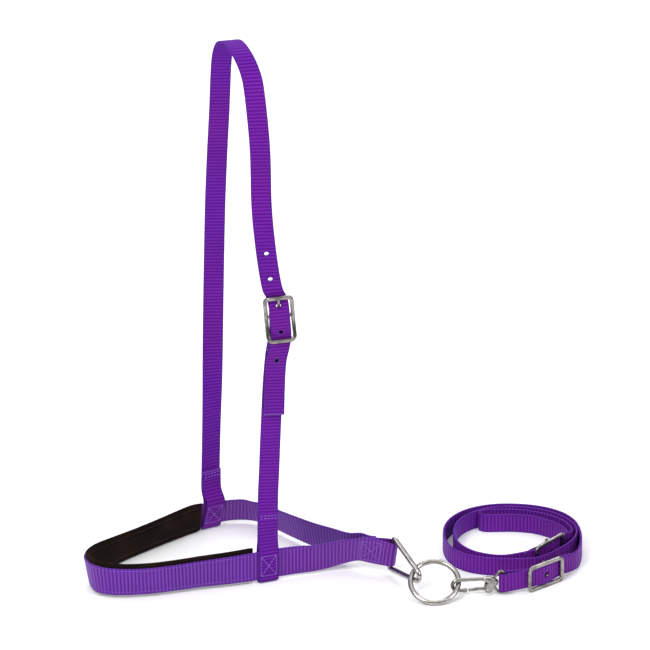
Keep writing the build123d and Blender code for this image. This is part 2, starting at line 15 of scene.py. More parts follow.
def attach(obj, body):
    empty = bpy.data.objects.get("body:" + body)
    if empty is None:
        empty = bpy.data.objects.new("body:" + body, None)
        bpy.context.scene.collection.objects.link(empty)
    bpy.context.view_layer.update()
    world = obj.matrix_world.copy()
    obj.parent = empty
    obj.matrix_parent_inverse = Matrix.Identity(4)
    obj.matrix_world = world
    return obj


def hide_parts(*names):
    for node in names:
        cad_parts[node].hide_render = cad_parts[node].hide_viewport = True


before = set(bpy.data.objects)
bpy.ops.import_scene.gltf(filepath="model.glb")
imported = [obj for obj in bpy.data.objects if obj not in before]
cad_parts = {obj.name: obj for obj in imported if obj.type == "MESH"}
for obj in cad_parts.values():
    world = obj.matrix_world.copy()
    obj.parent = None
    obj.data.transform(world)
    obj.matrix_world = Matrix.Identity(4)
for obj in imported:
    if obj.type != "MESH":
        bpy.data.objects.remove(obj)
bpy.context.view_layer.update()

CENTRE = Vector((6.1, 4.6, 0.0))
X = Vector((1.0, 0.0, 0.0))
Z = Vector((0.0, 0.0, 1.0))

WEB = 1.8
LAYER = 0.15
NOSE_WIDTH = 25.4
HEAD_WIDTH = 15.9
TIE_WIDTH = 15.9
LINER_THICKNESS = 3.0
LINER_WIDTH = 30.0
LINER_RAISED = 0.8                              # it shows more above the webbing than below
RIB = 2.85                                      # from one weft rib to the next
RIB_STEPS = 6
RELIEF = 0.30                                   # depth of the groove between two ribs


# ---------------------------------------------------------------- paths

def to_row(point):
    return (point - CENTRE) * 0.001


def unit_xy(yaw):
    """A unit vector in plan, at yaw degrees from +X."""
    return Vector((cos(radians(yaw)), sin(radians(yaw)), 0.0))


def smoothed(keys, step=1.0):
    """Stations (centre, width vector) along a smooth curve through keys."""
    at = [0.0]
    for a, b in zip(keys, keys[1:]):
        at.append(at[-1] + max((b[0] - a[0]).length, 0.01))
    last = len(keys) - 1

    def slope(i, part):
        lo = max(i - 1, 0)
        hi = min(i + 1, last)
        return (keys[hi][part] - keys[lo][part]) / (at[hi] - at[lo])

    stations = [keys[0]]
    for i in range(last):
        span = at[i + 1] - at[i]
        count = max(1, ceil(span / step))
        for k in range(1, count + 1):
            s = k / count
            blend = (
                2 * s**3 - 3 * s**2 + 1,
                (s**3 - 2 * s**2 + s) * span,
                3 * s**2 - 2 * s**3,
                (s**3 - s**2) * span,
            )
            stations.append(tuple(
                keys[i][part] * blend[0] + slope(i, part) * blend[1]
                + keys[i + 1][part] * blend[2] + slope(i + 1, part) * blend[3]
                for part in (0, 1)
            ))
    return stations


def evenly(stations, spacing):
    """The same line of stations, respaced to equal lengths of its centre line."""
    at = [0.0]
    for a, b in zip(stations, stations[1:]):
        at.append(at[-1] + (b[0] - a[0]).length)
    count = max(2, round(at[-1] / spacing))
    out = []
    i = 0
    for k in range(count + 1):
        want = at[-1] * k / count
        while i < len(at) - 2 and at[i + 1] < want:
            i += 1
        part = (want - at[i]) / max(at[i + 1] - at[i], 1e-9)
        a = stations[i]
        b = stations[i + 1]
        out.append((a[0].lerp(b[0], part), a[1].lerp(b[1], part)))
    return out


def frames(stations, reach=2):
    """The centre, half width vector and unit face normal at each station."""
    out = []
    last = len(stations) - 1
    for i, (centre, width) in enumerate(stations):
        along = stations[min(i + reach, last)][0] - stations[max(i - reach, 0)][0]
        out.append((centre, width * 0.5, along.cross(width).normalized()))
    return out


def rounded_path(points, radii, closed=False, step=0.7):
    """Evenly spaced points along straight runs joined by arcs."""
    count = len(points)
    line = []
    for i in range(count):
        here = points[i]
        if not closed and i in (0, count - 1):
            line.append(here)
            continue
        back = (points[i - 1] - here).normalized()
        ahead = (points[(i + 1) % count] - here).normalized()
        half = back.angle(ahead) / 2
        reach = radii[i] / tan(half)
        middle = here + (back + ahead).normalized() * (radii[i] / sin(half))
        start = (here + back * reach - middle).normalized()
        end = (here + ahead * reach - middle).normalized()
        line += [middle + start.slerp(end, k / 16).normalized() * radii[i] for k in range(17)]
    if closed:
        line.append(line[0])
    even = [p for p, _ in evenly([(p, Z) for p in line], step)]
    return even[:-1] if closed else even


# ---------------------------------------------------------------- shells

def skin(rings, closed=False, material=0, along=None):
    """A shell over rings of points: (points, faces, a UV for each point, materials)."""
    count = len(rings[0])
    points = [p for ring in rings for p in ring]
    uvs = []
    for i in range(len(rings)):
        s = along[i] if along else float(i)
        uvs += [(s / 100, k / count) for k in range(count)]
    faces = []
    for i in range(len(rings) if closed else len(rings) - 1):
        a = i * count
        b = (i + 1) % len(rings) * count
        faces += [
            (a + k, a + (k + 1) % count, b + (k + 1) % count, b + k) for k in range(count)
        ]
    if not closed:
        faces.append(tuple(range(count - 1, -1, -1)))
        faces.append(tuple(range(len(points) - count, len(points))))
    return points, faces, uvs, [material] * len(faces)


def sweep(path, up, sizes, closed=False, power=2.0, sides=16, caps=True):
    """A bar along path. sizes gives (half width, half height along up) at 0..1 of it."""
    last = len(path) - 1
    rings = []
    along = []
    for i, centre in enumerate(path):
        ahead = path[(i + 1) % (last + 1)] if closed else path[min(i + 1, last)]
        behind = path[i - 1] if closed else path[max(i - 1, 0)]
        tangent = (ahead - behind).normalized()
        side = tangent.cross(up).normalized()
        rise = side.cross(tangent)
        wide, tall = sizes(i / last) if callable(sizes) else sizes
        rings.append([
            centre + side * (wide * curl(cos(turn), power)) + rise * (tall * curl(sin(turn), power))
            for turn in (2 * pi * k / sides for k in range(sides))
        ])
        along.append(i * (path[1] - path[0]).length)
    if caps and not closed:
        rings = rounded_end(rings, path[0] - path[1], False) + rings
        rings += rounded_end(rings, path[-1] - path[-2], True)
        along = [along[0]] * 3 + along + [along[-1]] * 3
    return skin(rings, closed, along=along)


def curl(value, power):
    """A superellipse's coordinate: power 2 is round, and more is squarer."""
    return abs(value) ** (2 / power) * (1 if value >= 0 else -1)


def rounded_end(rings, out, at_end):
    """Three rings that close a bar's end in a dome."""
    ring = rings[-1] if at_end else rings[0]
    centre = sum(ring, Vector()) / len(ring)
    reach = min((p - centre).length for p in ring) * 0.8
    dome = [
        [centre + (p - centre) * cos(turn) + out.normalized() * (reach * sin(turn)) for p in ring]
        for turn in (radians(a) for a in (30, 60, 82))
    ]
    return dome if at_end else dome[::-1]


def ball(centre, radius, axis=Z, squash=1.0, rings=12, sides=20):
    """A round or flattened ball."""
    turned = Z.rotation_difference(axis)
    loops = []
    for i in range(1, rings):
        lat = pi * i / rings - pi / 2
        loops.append([
            centre + turned @ Vector((
                radius * cos(lat) * cos(2 * pi * k / sides),
                radius * cos(lat) * sin(2 * pi * k / sides),
                radius * squash * sin(lat),
            ))
            for k in range(sides)
        ])
    return skin(loops)


def turned(origin, axis, profile, sides=24):
    """A lathe shape: profile is (distance along axis, radius) from end to end."""
    across = axis.orthogonal().normalized()
    other = axis.cross(across).normalized()
    return skin([
        [
            origin + axis * s + (across * cos(turn) + other * sin(turn)) * radius
            for turn in (2 * pi * k / sides for k in range(sides))
        ]
        for s, radius in profile
    ])


def plate(outline, side, thickness, edge=0.35):
    """A flat plate with eased edges, its outline in a plane square to side."""
    middle = sum(outline, Vector()) / len(outline)

    def ring(out, inset):
        return [p + (middle - p).normalized() * inset + side * out for p in outline]

    half = thickness / 2
    return skin([ring(-half, edge), ring(edge - half, 0), ring(half - edge, 0), ring(half, edge)])


def piece(name, shells, materials, body, stands_for=()):
    """One visual piece made of shells, riding on a body."""
    points = []
    faces = []
    uvs = []
    kinds = []
    for shell_points, shell_faces, shell_uvs, shell_kinds in shells:
        start = len(points)
        points += shell_points
        faces += [tuple(k + start for k in face) for face in shell_faces]
        uvs += shell_uvs
        kinds += shell_kinds
    mesh = bpy.data.meshes.new(name)
    mesh.from_pydata([to_row(p) for p in points], [], faces)
    layer = mesh.uv_layers.new(name="strap")
    for loop in mesh.loops:
        layer.data[loop.index].uv = uvs[loop.vertex_index]
    for material in materials:
        mesh.materials.append(material)
    mesh.polygons.foreach_set("material_index", kinds)
    mesh.polygons.foreach_set("use_smooth", [len(face) == 4 for face in faces])
    mesh.update()
    obj = bpy.data.objects.new(name, mesh)
    bpy.context.scene.collection.objects.link(obj)
    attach(obj, body)
    if stands_for:
        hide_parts(*stands_for)
    return obj


# ---------------------------------------------------------------- webbing

EDGES = (0.975, 0.93, 0.89, 0.80, 0.45)
SECTION = [-1.0] + [-e for e in EDGES] + [0.0] + list(EDGES[::-1]) + [1.0]


def half_thickness(v, rib, full):
    """Half the webbing's thickness at v of its half width; rib is 1 on a rib's crest."""
    edge = abs(v)
    body = full * sqrt(max(0.0, 1 - max(0.0, (edge - 0.88) / 0.12) ** 2.4))
    groove = 0.12 * exp(-(((edge - 0.89) / 0.02) ** 2))
    relief = RELIEF * (1 - rib) * (1.0 if edge < 0.88 else 0.5)
    return max(body - groove - relief * body / full, 0.0)


def strap_shell(keys, sealed=(True, True)):
    """Webbing through keys: weft ribs, corded selvages, and sealed cut ends."""
    rows = frames(evenly(smoothed(keys), RIB / RIB_STEPS), 3)
    spacing = (rows[1][0] - rows[0][0]).length
    last = len(rows) - 1
    rings = []
    uvs = []
    kinds = []
    for i, (centre, half, normal) in enumerate(rows):
        rib = abs(sin(pi * i * spacing / RIB)) ** 0.7
        near_end = min(i if sealed[0] else last, last - i if sealed[1] else last)
        melt = min(1.0, near_end / 3)
        full = (WEB / 2) * (0.55 + 0.45 * melt)
        rib = 1 - (1 - rib) * melt
        pull = 1 - 0.012 * (1 - rib)
        front = [
            centre + half * (v * pull) + normal * half_thickness(v, rib, full) for v in SECTION
        ]
        back = [
            centre + half * (v * pull) - normal * half_thickness(v, rib, full)
            for v in SECTION[-2:0:-1]
        ]
        rings.append(front + back)
        uvs += [
            (i * spacing / 100, v * half.length / 100) for v in SECTION + SECTION[-2:0:-1]
        ]
        kinds.append(1 if near_end < 3 else 0)
    points, faces, _, _ = skin(rings)
    count = len(rings[0])
    shades = [kinds[i] for i in range(last) for _ in range(count)] + [1, 1]
    return points, faces, uvs, shades


def punch(obj, holes, radius=2.0):
    """Cut round holes through a strap, given as (centre, direction)."""
    drills = []
    for centre, direction in holes:
        drills.append(turned(
            centre - direction * 5, direction, [(0, radius), (10, radius)], sides=28,
        ))
    cutter = piece("hole_cutter", drills, [], "halter")
    cut = obj.modifiers.new("holes", "BOOLEAN")
    cut.operation = "DIFFERENCE"
    cut.solver = "EXACT"
    cut.object = cutter
    done = bpy.data.meshes.new_from_object(obj.evaluated_get(bpy.context.evaluated_depsgraph_get()))
    obj.modifiers.clear()
    obj.data = done
    bpy.data.objects.remove(cutter)


def hole_rims(holes, radius=2.0):
    """The melted lip round each punched hole, on both faces."""
    rims = []
    for centre, direction in holes:
        across = direction.orthogonal().normalized()
        other = direction.cross(across)
        for face in (-1, 1):
            loop = [
                centre + direction * (face * (WEB / 2 - 0.12))
                + (across * cos(turn) + other * sin(turn)) * (radius + 0.12)
                for turn in (2 * pi * k / 28 for k in range(28))
            ]
            points, faces, uvs, _ = sweep(loop, direction, (0.32, 0.22), closed=True, sides=8)
            rims.append((points, faces, uvs, [1] * len(faces)))
    return rims


# ---------------------------------------------------------------- noseband

BAR = Vector((51.4, -11.0, 19.0))               # middle of the link's bar in the tab
BAR_UP = Vector((0.12, -0.09, 0.989)).normalized()
BAR_RADIUS = 2.1
TAB_FRONT = Vector((21.2, -3.6, -3.0)).cross(BAR_UP).normalized()
TAB_ALONG = BAR_UP.cross(TAB_FRONT)             # towards the ring
TAB_TWIST = 0.0087                              # lean towards the front, per mm from the bar
FOLD = BAR_RADIUS + 0.35 + WEB / 2
FOLD_WIDTH = 21.8

NEAR_SIDE = [
    (14.0, -6.5, 6.6, 0.3, -6.0),
    (4.0, -7.4, 3.6, 0.0, -4.2),
    (-8.0, -10.8, 2.4, 0.0, -3.3),
    (-20.0, -14.2, 2.4, 0.0, -1.2),
    (-35.0, -18.8, 2.4, 0.0, 0.0),
    (-55.0, -25.8, 2.4, 0.0, 0.0),
    (-75.0, -31.0, 2.4, 0.0, -1.5),
    (-96.0, -35.4, 2.4, -0.5, -3.2),
    (-115.0, -40.6, 2.4, -1.0, -3.8),
    (-135.0, -45.4, 2.4, -1.0, -3.8),
    (-155.0, -47.6, 2.4, -1.0, -3.0),
    (-168.0, -46.6, 2.4, -2.4, -1.6),
    (-176.0, -42.4, 2.4, -3.6, -0.4),
    (-180.4, -35.0, 2.4, -4.4, 0.4),
    (-181.2, -27.0, 2.4, -4.4, 0.2),
    (-178.6, -17.5, 2.4, -2.0, -0.4),
    (-172.0, -6.5, 2.4, 1.0, -2.2),
]
FAR_SIDE = [
    (-163.0, 4.6, 2.4, 3.0, -3.8),
    (-152.0, 15.2, 2.4, 3.8, -4.8),
    (-136.0, 28.2, 2.4, 3.8, -4.8),
    (-120.0, 40.8, 2.4, 3.4, -4.4),
    (-106.0, 51.2, 2.4, 2.0, -5.0),
    (-89.0, 60.6, 2.4, 0.9, -7.6),
    (-76.0, 66.4, 2.4, 0.8, -9.2),
    (-64.0, 67.8, 2.4, 0.2, -9.4),
    (-54.0, 66.0, 2.4, -2.4, -10.2),
    (-44.0, 59.6, 2.4, -5.0, -7.4),
    (-33.0, 49.0, 2.4, -5.6, -5.6),
    (-19.0, 35.9, 2.4, -4.0, -5.0),
    (-6.0, 24.8, 2.8, -2.8, -4.8),
    (7.0, 14.7, 4.6, -0.8, -6.0),
    (18.0, 6.0, 7.0, 0.4, -7.4),
]


def tab_up(along):
    """The direction across the tab, which twists away from the bar's."""
    return (BAR_UP - TAB_FRONT * (TAB_TWIST * min(along, 0.0))).normalized()


def tab_point(along, front):
    """A point of the tab's middle line, measured from the bar; the lower edge runs straight."""
    low = BAR - BAR_UP * (NOSE_WIDTH / 2)
    return low + TAB_ALONG * along + tab_up(along) * (NOSE_WIDTH / 2) + TAB_FRONT * front


def nose_keys(rows):
    """Stations from rows of (x, y, z) of the lower edge and (lean x, lean y)."""
    keys = []
    for x, y, z, lean_x, lean_y in rows:
        width = Vector((lean_x, lean_y, sqrt(NOSE_WIDTH**2 - lean_x**2 - lean_y**2)))
        keys.append((Vector((x, y, z)) + width * 0.5, width))
    return keys


def noseband_keys():
    """Stations of the whole noseband, from the inner tab layer round to its outer end."""
    narrow = BAR_UP * FOLD_WIDTH
    pair = (WEB + LAYER) / 2
    keys = [tab_key(-24.5, -pair), tab_key(-17.0, -pair), tab_key(-12.0, -pair - 0.15)]
    for k in range(9):
        turn = radians(-105 + 210 * k / 8)
        keys.append((tab_point(FOLD * cos(turn), FOLD * sin(turn)), narrow))
    keys += [tab_key(-12.0, pair + 0.15), tab_key(-17.0, pair), tab_key(-24.5, pair)]
    keys += nose_keys(NEAR_SIDE + FAR_SIDE)
    keys += [tab_key(-25.5, -6.4), tab_key(-18.5, -3 * pair - 0.5), tab_key(-13.5, -3 * pair - 0.2)]
    return keys


def tab_key(along, front):
    return tab_point(along, front), tab_up(along) * NOSE_WIDTH


def liner_keys():
    """The padding's run inside the noseband, at its own middle, as wide as the webbing."""
    rows = [r for r in NEAR_SIDE + FAR_SIDE if r[0] <= -100 or (r[0] < -60 and r[1] < 0)]
    rows = [(-55.4, -25.9, 2.4, 0.0, 0.0)] + rows + [(-98.0, 55.8, 2.4, 1.5, -6.2)]
    return [(c + width.normalized() * LINER_RAISED, width) for c, width in nose_keys(rows)]


QUILT = 0.80                                    # the lining's stitch rows, of the webbing's half width


def liner_shell():
    """Soft foam strip, drawn in along two stitch rows, with rounded, slightly wavy edges."""
    keys = [(centre, width * (LINER_WIDTH / NOSE_WIDTH)) for centre, width in liner_keys()]
    rows = frames(evenly(smoothed(keys), 1.2), 3)
    row = QUILT * NOSE_WIDTH / LINER_WIDTH
    steps = [0.0, 0.25, 0.5, row - 0.09, row - 0.035, row, row + 0.035, row + 0.09, 0.93, 0.98]
    across = [-s for s in steps[:0:-1]] + steps
    last = len(rows) - 1
    rings = []
    for i, (centre, half, normal) in enumerate(rows):
        outer = WEB / 2 + 0.15
        end = min(i, last - i)
        puff = LINER_THICKNESS * (0.55 + 0.45 * min(1.0, end / 3))
        wave = 0.010 * noise(centre * 0.05) + 0.004 * noise(centre * 0.3)
        ring = [
            centre + half * (v * (1 + wave)) + normal * (outer + (0.7 if abs(v) > 0.95 else 0.0))
            for v in across
        ]
        inner = []
        for v in reversed(across):
            drawn = 0.85 * exp(-(((abs(v) - row) / 0.045) ** 2))
            crown = 1 - 0.22 * max(0.0, (abs(v) - 0.86) / 0.14) ** 2
            lumps = 0.10 * noise(centre * 0.12 + half * v * 0.12)
            depth = puff * crown - drawn - (0.75 if abs(v) > 0.95 else 0.0) + lumps
            inner.append(centre + half * (v * (1 + wave)) + normal * (outer + max(depth, 0.9)))
        side = half * (1.0 + wave)
        ring.append(centre + side + normal * (outer + puff * 0.5))
        inner.append(centre - side + normal * (outer + puff * 0.5))
        rings.append(ring + inner)
    return skin(rings, along=[i * 1.2 for i in range(len(rings))])


# ---------------------------------------------------------------- headstall

ACROSS = Vector((-0.49, 0.87, 0)).normalized()    # from the near side to the far side
NEAR_JOIN = Vector((-44.4, -22.0, 0))             # noseband centre line at the near strap
FAR_JOIN = Vector((-89.3, 60.3, 0))
BUCKLE = Vector((-35.0, -27.0, 239.6))            # middle of the cheek buckle's centre bar
BUCKLE_UP = Vector((-0.079, 0, 1)).normalized()
BUCKLE_OUT = unit_xy(5).cross(BUCKLE_UP).normalized()   # away from the horse
BUCKLE_SIDE = BUCKLE_UP.cross(BUCKLE_OUT)
BUCKLE_HALF = 19.0
END_OUT = 5.6                                   # the end bars stand out from the centre bar
HOLES_Z = (293.5, 272.4, 227.5, 201.2)
TONGUE_HOLE_UP = 11.4


def head_point(out, up, side=0.0):
    """A point by the cheek buckle: out from the horse, up, and along its bars."""
    return BUCKLE + BUCKLE_OUT * out + BUCKLE_UP * up + BUCKLE_SIDE * side


def head_keys(rows):
    """Stations from rows of (x, y, z, yaw of the strap's width)."""
    return [(Vector((x, y, z)), unit_xy(yaw) * HEAD_WIDTH) for x, y, z, yaw in rows]


def buckle_keys(rows):
    """Stations from rows of (out, up, side) by the cheek buckle."""
    return [(head_point(*row), BUCKLE_SIDE * HEAD_WIDTH) for row in rows]


def wrap_keys(join, side, yaw, lean, room):
    """Stations of a strap's end passing down, under and up round the noseband."""
    gap = WEB + room
    base = gap + WEB / 2 + 0.15
    rows = [(side * gap - lean, 27.0), (side * gap - lean * 0.4, 12.0)]
    rows += [(side * gap - lean * 0.17, 6.5), (side * gap - lean * 0.08, 4.8)]
    for k in range(9):
        turn = radians(180 * k / 8)
        rows.append((side * gap * cos(turn), base - gap * sin(turn)))
    rows += [(-side * gap - lean * 0.08, 4.8), (-side * gap - lean * 0.17, 6.5)]
    rows += [(-side * gap - lean * 0.4, 12.0), (-side * gap - lean, 27.0)]
    width = unit_xy(yaw) * HEAD_WIDTH
    return [(join + ACROSS * across + Vector((0, 0, z)), width) for across, z in rows]


NEAR_ROWS = [
    (-37.9, -24.6, 207.0, 5),
    (-39.0, -24.4, 195.0, 5),
    (-40.3, -24.0, 175.0, 5),
    (-41.5, -23.4, 145.0, 5),
    (-42.2, -22.9, 127.0, 5),
    (-43.1, -22.3, 100.0, 5),
    (-43.9, -22.2, 80.0, 5),
    (-44.1, -22.3, 66.0, 6),
    (-44.1, -22.6, 50.0, 12),
    (-43.9, -23.0, 37.0, 18),
]
NEAR_END = [(-44.8, -20.4, 37.0, 18), (-44.5, -20.7, 48.0, 13), (-44.4, -20.4, 62.0, 7.5)]
CROWN_TAIL = [
    (-39.2, -27.4, 152.0, 4),
    (-38.7, -27.4, 175.0, 4),
    (-37.5, -28.4, 199.0, 4),
]
CROWN_ROWS = [
    (-41.9, -27.0, 271.5, 6),
    (-44.4, -25.4, 288.4, 5),
    (-46.3, -22.6, 304.4, 4),
    (-47.9, -19.5, 320.4, 3),
    (-48.9, -16.5, 337.0, 3),
    (-49.2, -13.8, 355.0, 3),
    (-49.6, -12.0, 372.0, 3),
    (-50.5, -10.6, 388.0, 3),
    (-52.0, -8.2, 405.0, 4),
    (-53.6, -4.6, 419.5, 6),
    (-56.0, 1.5, 433.2, 8),
    (-60.4, 9.3, 443.0, 11),
    (-65.8, 18.5, 448.8, 12),
    (-71.2, 28.1, 450.2, 12),
    (-75.6, 35.9, 445.8, 8),
    (-78.4, 41.3, 434.8, 5),
    (-79.7, 44.1, 421.0, 3),
    (-80.4, 45.4, 404.0, 2),
    (-81.2, 46.4, 380.0, 1),
    (-82.8, 48.0, 345.0, 1),
    (-84.5, 51.0, 298.0, 1),
    (-85.5, 53.8, 250.0, 1),
    (-86.2, 55.8, 206.0, 2),
    (-86.8, 57.0, 160.0, 5),
    (-87.2, 57.6, 128.0, 15),
    (-87.8, 58.0, 100.0, 24),
    (-88.3, 58.2, 76.0, 27),
    (-88.7, 57.8, 52.0, 27),
    (-88.7, 57.0, 37.0, 26),
]
CROWN_END = [(-87.5, 54.6, 37.0, 26), (-87.9, 55.8, 45.0, 27), (-87.9, 56.0, 54.0, 27)]


def near_keys():
    """The lower near strap: round the buckle's bar, down, and round the noseband."""
    fold = 1.6 + 0.3 + WEB / 2
    rows = [(-0.82, -30, -3.9), (-0.82, -20, -2.6), (-0.4, -12, -0.8)]
    for k in range(9):
        turn = radians(-20 + 200 * k / 8)
        rows.append((fold * cos(turn), fold * sin(turn), 0))
    rows += [(-2.8, -12, -0.8), (-2.8, -22, -2.9)]
    keys = buckle_keys(rows) + head_keys(NEAR_ROWS)
    return keys + wrap_keys(NEAR_JOIN, -1, 19.3, 0.0, 0.45) + head_keys(NEAR_END)


def crown_keys():
    """Stations of the long strap: tail, buckle, over the poll and down to the far side."""
    inside = [
        (2.2, -27, -2.2), (2.2, -18.8, -0.3), (4.2, -9, 0), (4.8, 0, 0), (4.2, 9, 0), (3.3, 13.6, -0.2),
        (2.2, 18.8, -1.2), (1.9, 24, -3.2),
    ]
    keys = head_keys(CROWN_TAIL) + buckle_keys(inside) + head_keys(CROWN_ROWS)
    return keys + wrap_keys(FAR_JOIN, 1, 25.5, 7.0, 0.8) + head_keys(CROWN_END)


def crown_at(keys, z):
    """The middle of the crown strap's near leg at height z."""
    for (a, _), (b, _) in zip(keys, keys[1:]):
        if a.z <= z <= b.z:
            return a + (b - a) * ((z - a.z) / (b.z - a.z))
    raise ValueError(z)


def cheek_buckle():
    """A cast frame, bowed out at its middle, with a round centre bar."""
    rail = 10.4
    end = BUCKLE_HALF
    flat = rounded_path(
        [Vector((-rail, 0, -end)), Vector((rail, 0, -end)),
         Vector((rail, 0, end)), Vector((-rail, 0, end))],
        [3.8] * 4, closed=True, step=0.8,
    )
    path = [head_point(END_OUT * abs(p.z / end) ** 1.5, p.z, p.x) for p in flat]
    bar = [head_point(0, 0, rail * (k / 8 - 1)) for k in range(17)]
    return [
        sweep(path, BUCKLE_OUT, (1.55, 1.25), closed=True, power=3.6, sides=24),
        sweep(bar, BUCKLE_OUT, (1.5, 1.5)),
    ]


def cheek_tongue():
    """A flat-sided pin bent round the centre bar, with its tip on the top bar."""
    line = [
        (1.9, 1.4), (2.3, 6.5), (3.6, 10.5),
        (END_OUT + 1.0, 14.8), (END_OUT + 2.5, 18.4), (END_OUT + 2.3, 20.6),
    ]
    smooth = [p for p, _ in evenly(smoothed([(head_point(*at), Z) for at in line], 0.5), 0.6)]
    turns = [2 * pi * k / 28 for k in range(28)]
    eye = [head_point(-2.35 * cos(turn), 2.35 * sin(turn)) for turn in turns]
    return [
        sweep(smooth, BUCKLE_SIDE, lambda s: (0.95 - 0.15 * s, 1.5 - 0.45 * s), power=2.8),
        sweep(eye, BUCKLE_SIDE, (0.62, 1.75), closed=True, power=3.0),
    ]


# ---------------------------------------------------------------- link and ring

RING_RADIUS = 18.55
RING_WIRE = 2.1
RING_TILT = 28.5
RING = Vector((84.6, -42.0, 10.95))
RING_ACROSS = Vector((0.0, cos(radians(RING_TILT)), sin(radians(RING_TILT))))
RING_NORMAL = X.cross(RING_ACROSS)
LINK_ANGLE = 151.5
SNAP_ANGLE = -9.0
WELD_ANGLE = -62.0
LINK_HALF_BAR = 14.6
LINK_BEND = 4.8


def ring_point(angle, radius=RING_RADIUS):
    turn = radians(angle)
    return RING + (X * cos(turn) + RING_ACROSS * sin(turn)) * radius


def link_shell():
    """A wire triangle, its bar in the tab and its point round the ring."""
    run = ring_point(LINK_ANGLE) - BAR
    run = (run - BAR_UP * run.dot(BAR_UP)).normalized()
    height = (ring_point(LINK_ANGLE) - BAR).length + BAR_RADIUS + RING_WIRE + 4.5
    slope = atan2(LINK_HALF_BAR, height + 8.0)
    sharp = BAR + run * (height + LINK_BEND / sin(slope) - LINK_BEND)
    corners = [BAR - BAR_UP * LINK_HALF_BAR, BAR + BAR_UP * LINK_HALF_BAR, sharp]
    path = rounded_path(corners, [2.3, 2.3, LINK_BEND], closed=True, step=0.6)
    return sweep(path, run.cross(BAR_UP), (BAR_RADIUS, BAR_RADIUS), closed=True, sides=20)


def ring_shells():
    """A round welded ring, with the weld's low bead."""
    path = [ring_point(360 * k / 144) for k in range(144)]
    bead = [ring_point(WELD_ANGLE + 0.7 * k) for k in range(-4, 5)]
    return [
        sweep(path, RING_NORMAL, (RING_WIRE, RING_WIRE), closed=True, sides=24),
        sweep(bead, RING_NORMAL, lambda s: (swell(s), swell(s)), sides=24, caps=False),
    ]


def swell(s):
    """The weld bead's radius, from the wire's surface up and back."""
    return RING_WIRE - 0.05 + 0.16 * sin(pi * s)


# ---------------------------------------------------------------- snap hook

SNAP = ring_point(SNAP_ANGLE)
SNAP_AXIS = Vector((0.993, 0.115, 0.0)).normalized()
SNAP_SIDE = Vector((-SNAP_AXIS.y, SNAP_AXIS.x, 0.0))
EYE = 35.3
EYE_LOW = 1.1
EYE_HIGH = 19.9
HOOK_BEND = 4.6
HOOK_TOP = SNAP.z + HOOK_BEND
GATE_Z = SNAP.z - 4.3
PIN_AT = 23.0


def snap_point(along, z, side=0.0):
    return Vector((SNAP.x, SNAP.y, z)) + SNAP_AXIS * along + SNAP_SIDE * side


def snap_line(points, step=0.5):
    """A smooth line through (along, z) points of the snap's middle plane."""
    return [p for p, _ in evenly(smoothed([(snap_point(s, z), Z) for s, z in points], 0.4), step)]


def hook_shells():
    """The hook: a round bar from the casting's top, round the ring, to a ball tip."""
    mid = SNAP.z
    bend = [
        (HOOK_BEND * cos(radians(a)), mid + HOOK_BEND * sin(radians(a))) for a in range(90, 271, 20)
    ]
    line = [(25.2, HOOK_TOP - 0.5), (18.0, HOOK_TOP - 0.1), (9.0, HOOK_TOP)] + bend
    line += [(3.2, mid - 4.8), (4.6, mid - 4.95)]

    def sizes(s):
        thick = 1.55 - 0.15 * s + 0.15 * exp(-(((s - 0.68) / 0.12) ** 2))
        return thick, thick

    return [
        sweep(snap_line(line), SNAP_SIDE, sizes, sides=18),
        ball(snap_point(5.0, mid - 5.0), 1.8, SNAP_AXIS, 1.15),
    ]


CASTING = [                                     # (along, bottom z, top z, half width)
    (19.6, 12.2, 15.2, 1.5),
    (21.5, 11.5, 15.6, 2.0),
    (23.5, 9.2, 15.6, 2.45),
    (25.4, 7.7, 15.3, 2.75),
    (27.2, 6.3, 14.7, 2.75),
    (28.8, 6.9, 13.9, 2.4),
    (29.8, 8.1, 12.9, 1.9),
]


def casting_shell():
    """The body between the hook and the eye, as rounded sections."""
    rings = []
    stations = smoothed([
        (Vector((s, (low + high) / 2, 0)), Vector(((high - low) / 2, wide, 0)))
        for s, low, high, wide in CASTING
    ], 0.6)
    for where, size in stations:
        rings.append([
            snap_point(where.x, where.y + size.x * curl(cos(turn), 3.0), size.y * curl(sin(turn), 3.0))
            for turn in (2 * pi * k / 24 for k in range(24))
        ])
    first = rounded_end(rings, -SNAP_AXIS, False)
    return skin(first + rings + rounded_end(rings, SNAP_AXIS, True))


def cheek_plates():
    """The two ears that hold the gate's pin."""
    outline = [
        (PIN_AT - 2.6, GATE_Z - 2.4), (PIN_AT - 2.2, GATE_Z + 3.4), (PIN_AT + 0.4, HOOK_TOP - 1.6),
        (PIN_AT + 4.6, HOOK_TOP - 2.2), (PIN_AT + 4.8, GATE_Z + 1.4), (PIN_AT + 2.4, GATE_Z - 2.6),
    ]
    path = rounded_path([snap_point(s, z) for s, z in outline], [1.9, 1.2, 1.6, 1.2, 1.4, 1.6], True, 0.4)
    return [plate([p + SNAP_SIDE * (side * 2.45) for p in path], SNAP_SIDE, 1.3) for side in (-1, 1)]


def eye_shell():
    """The strap eye: a wire loop whose far bar holds the strap's fold."""
    corners = [
        (28.0, 11.8), (28.9, 16.4), (31.8, EYE_HIGH), (EYE, EYE_HIGH),
        (EYE, EYE_LOW), (31.8, EYE_LOW), (28.9, 4.6), (28.0, 9.2),
    ]
    radii = [0, 4.0, 3.0, 1.9, 1.9, 3.0, 4.0, 0]
    path = rounded_path([snap_point(s, z) for s, z in corners], radii, step=0.5)

    def sizes(s):
        bar = exp(-(((s - 0.5) / 0.16) ** 4))
        return 1.1 + 0.4 * bar, 1.25 + 0.25 * bar

    return sweep(path, SNAP_SIDE, sizes, sides=18)


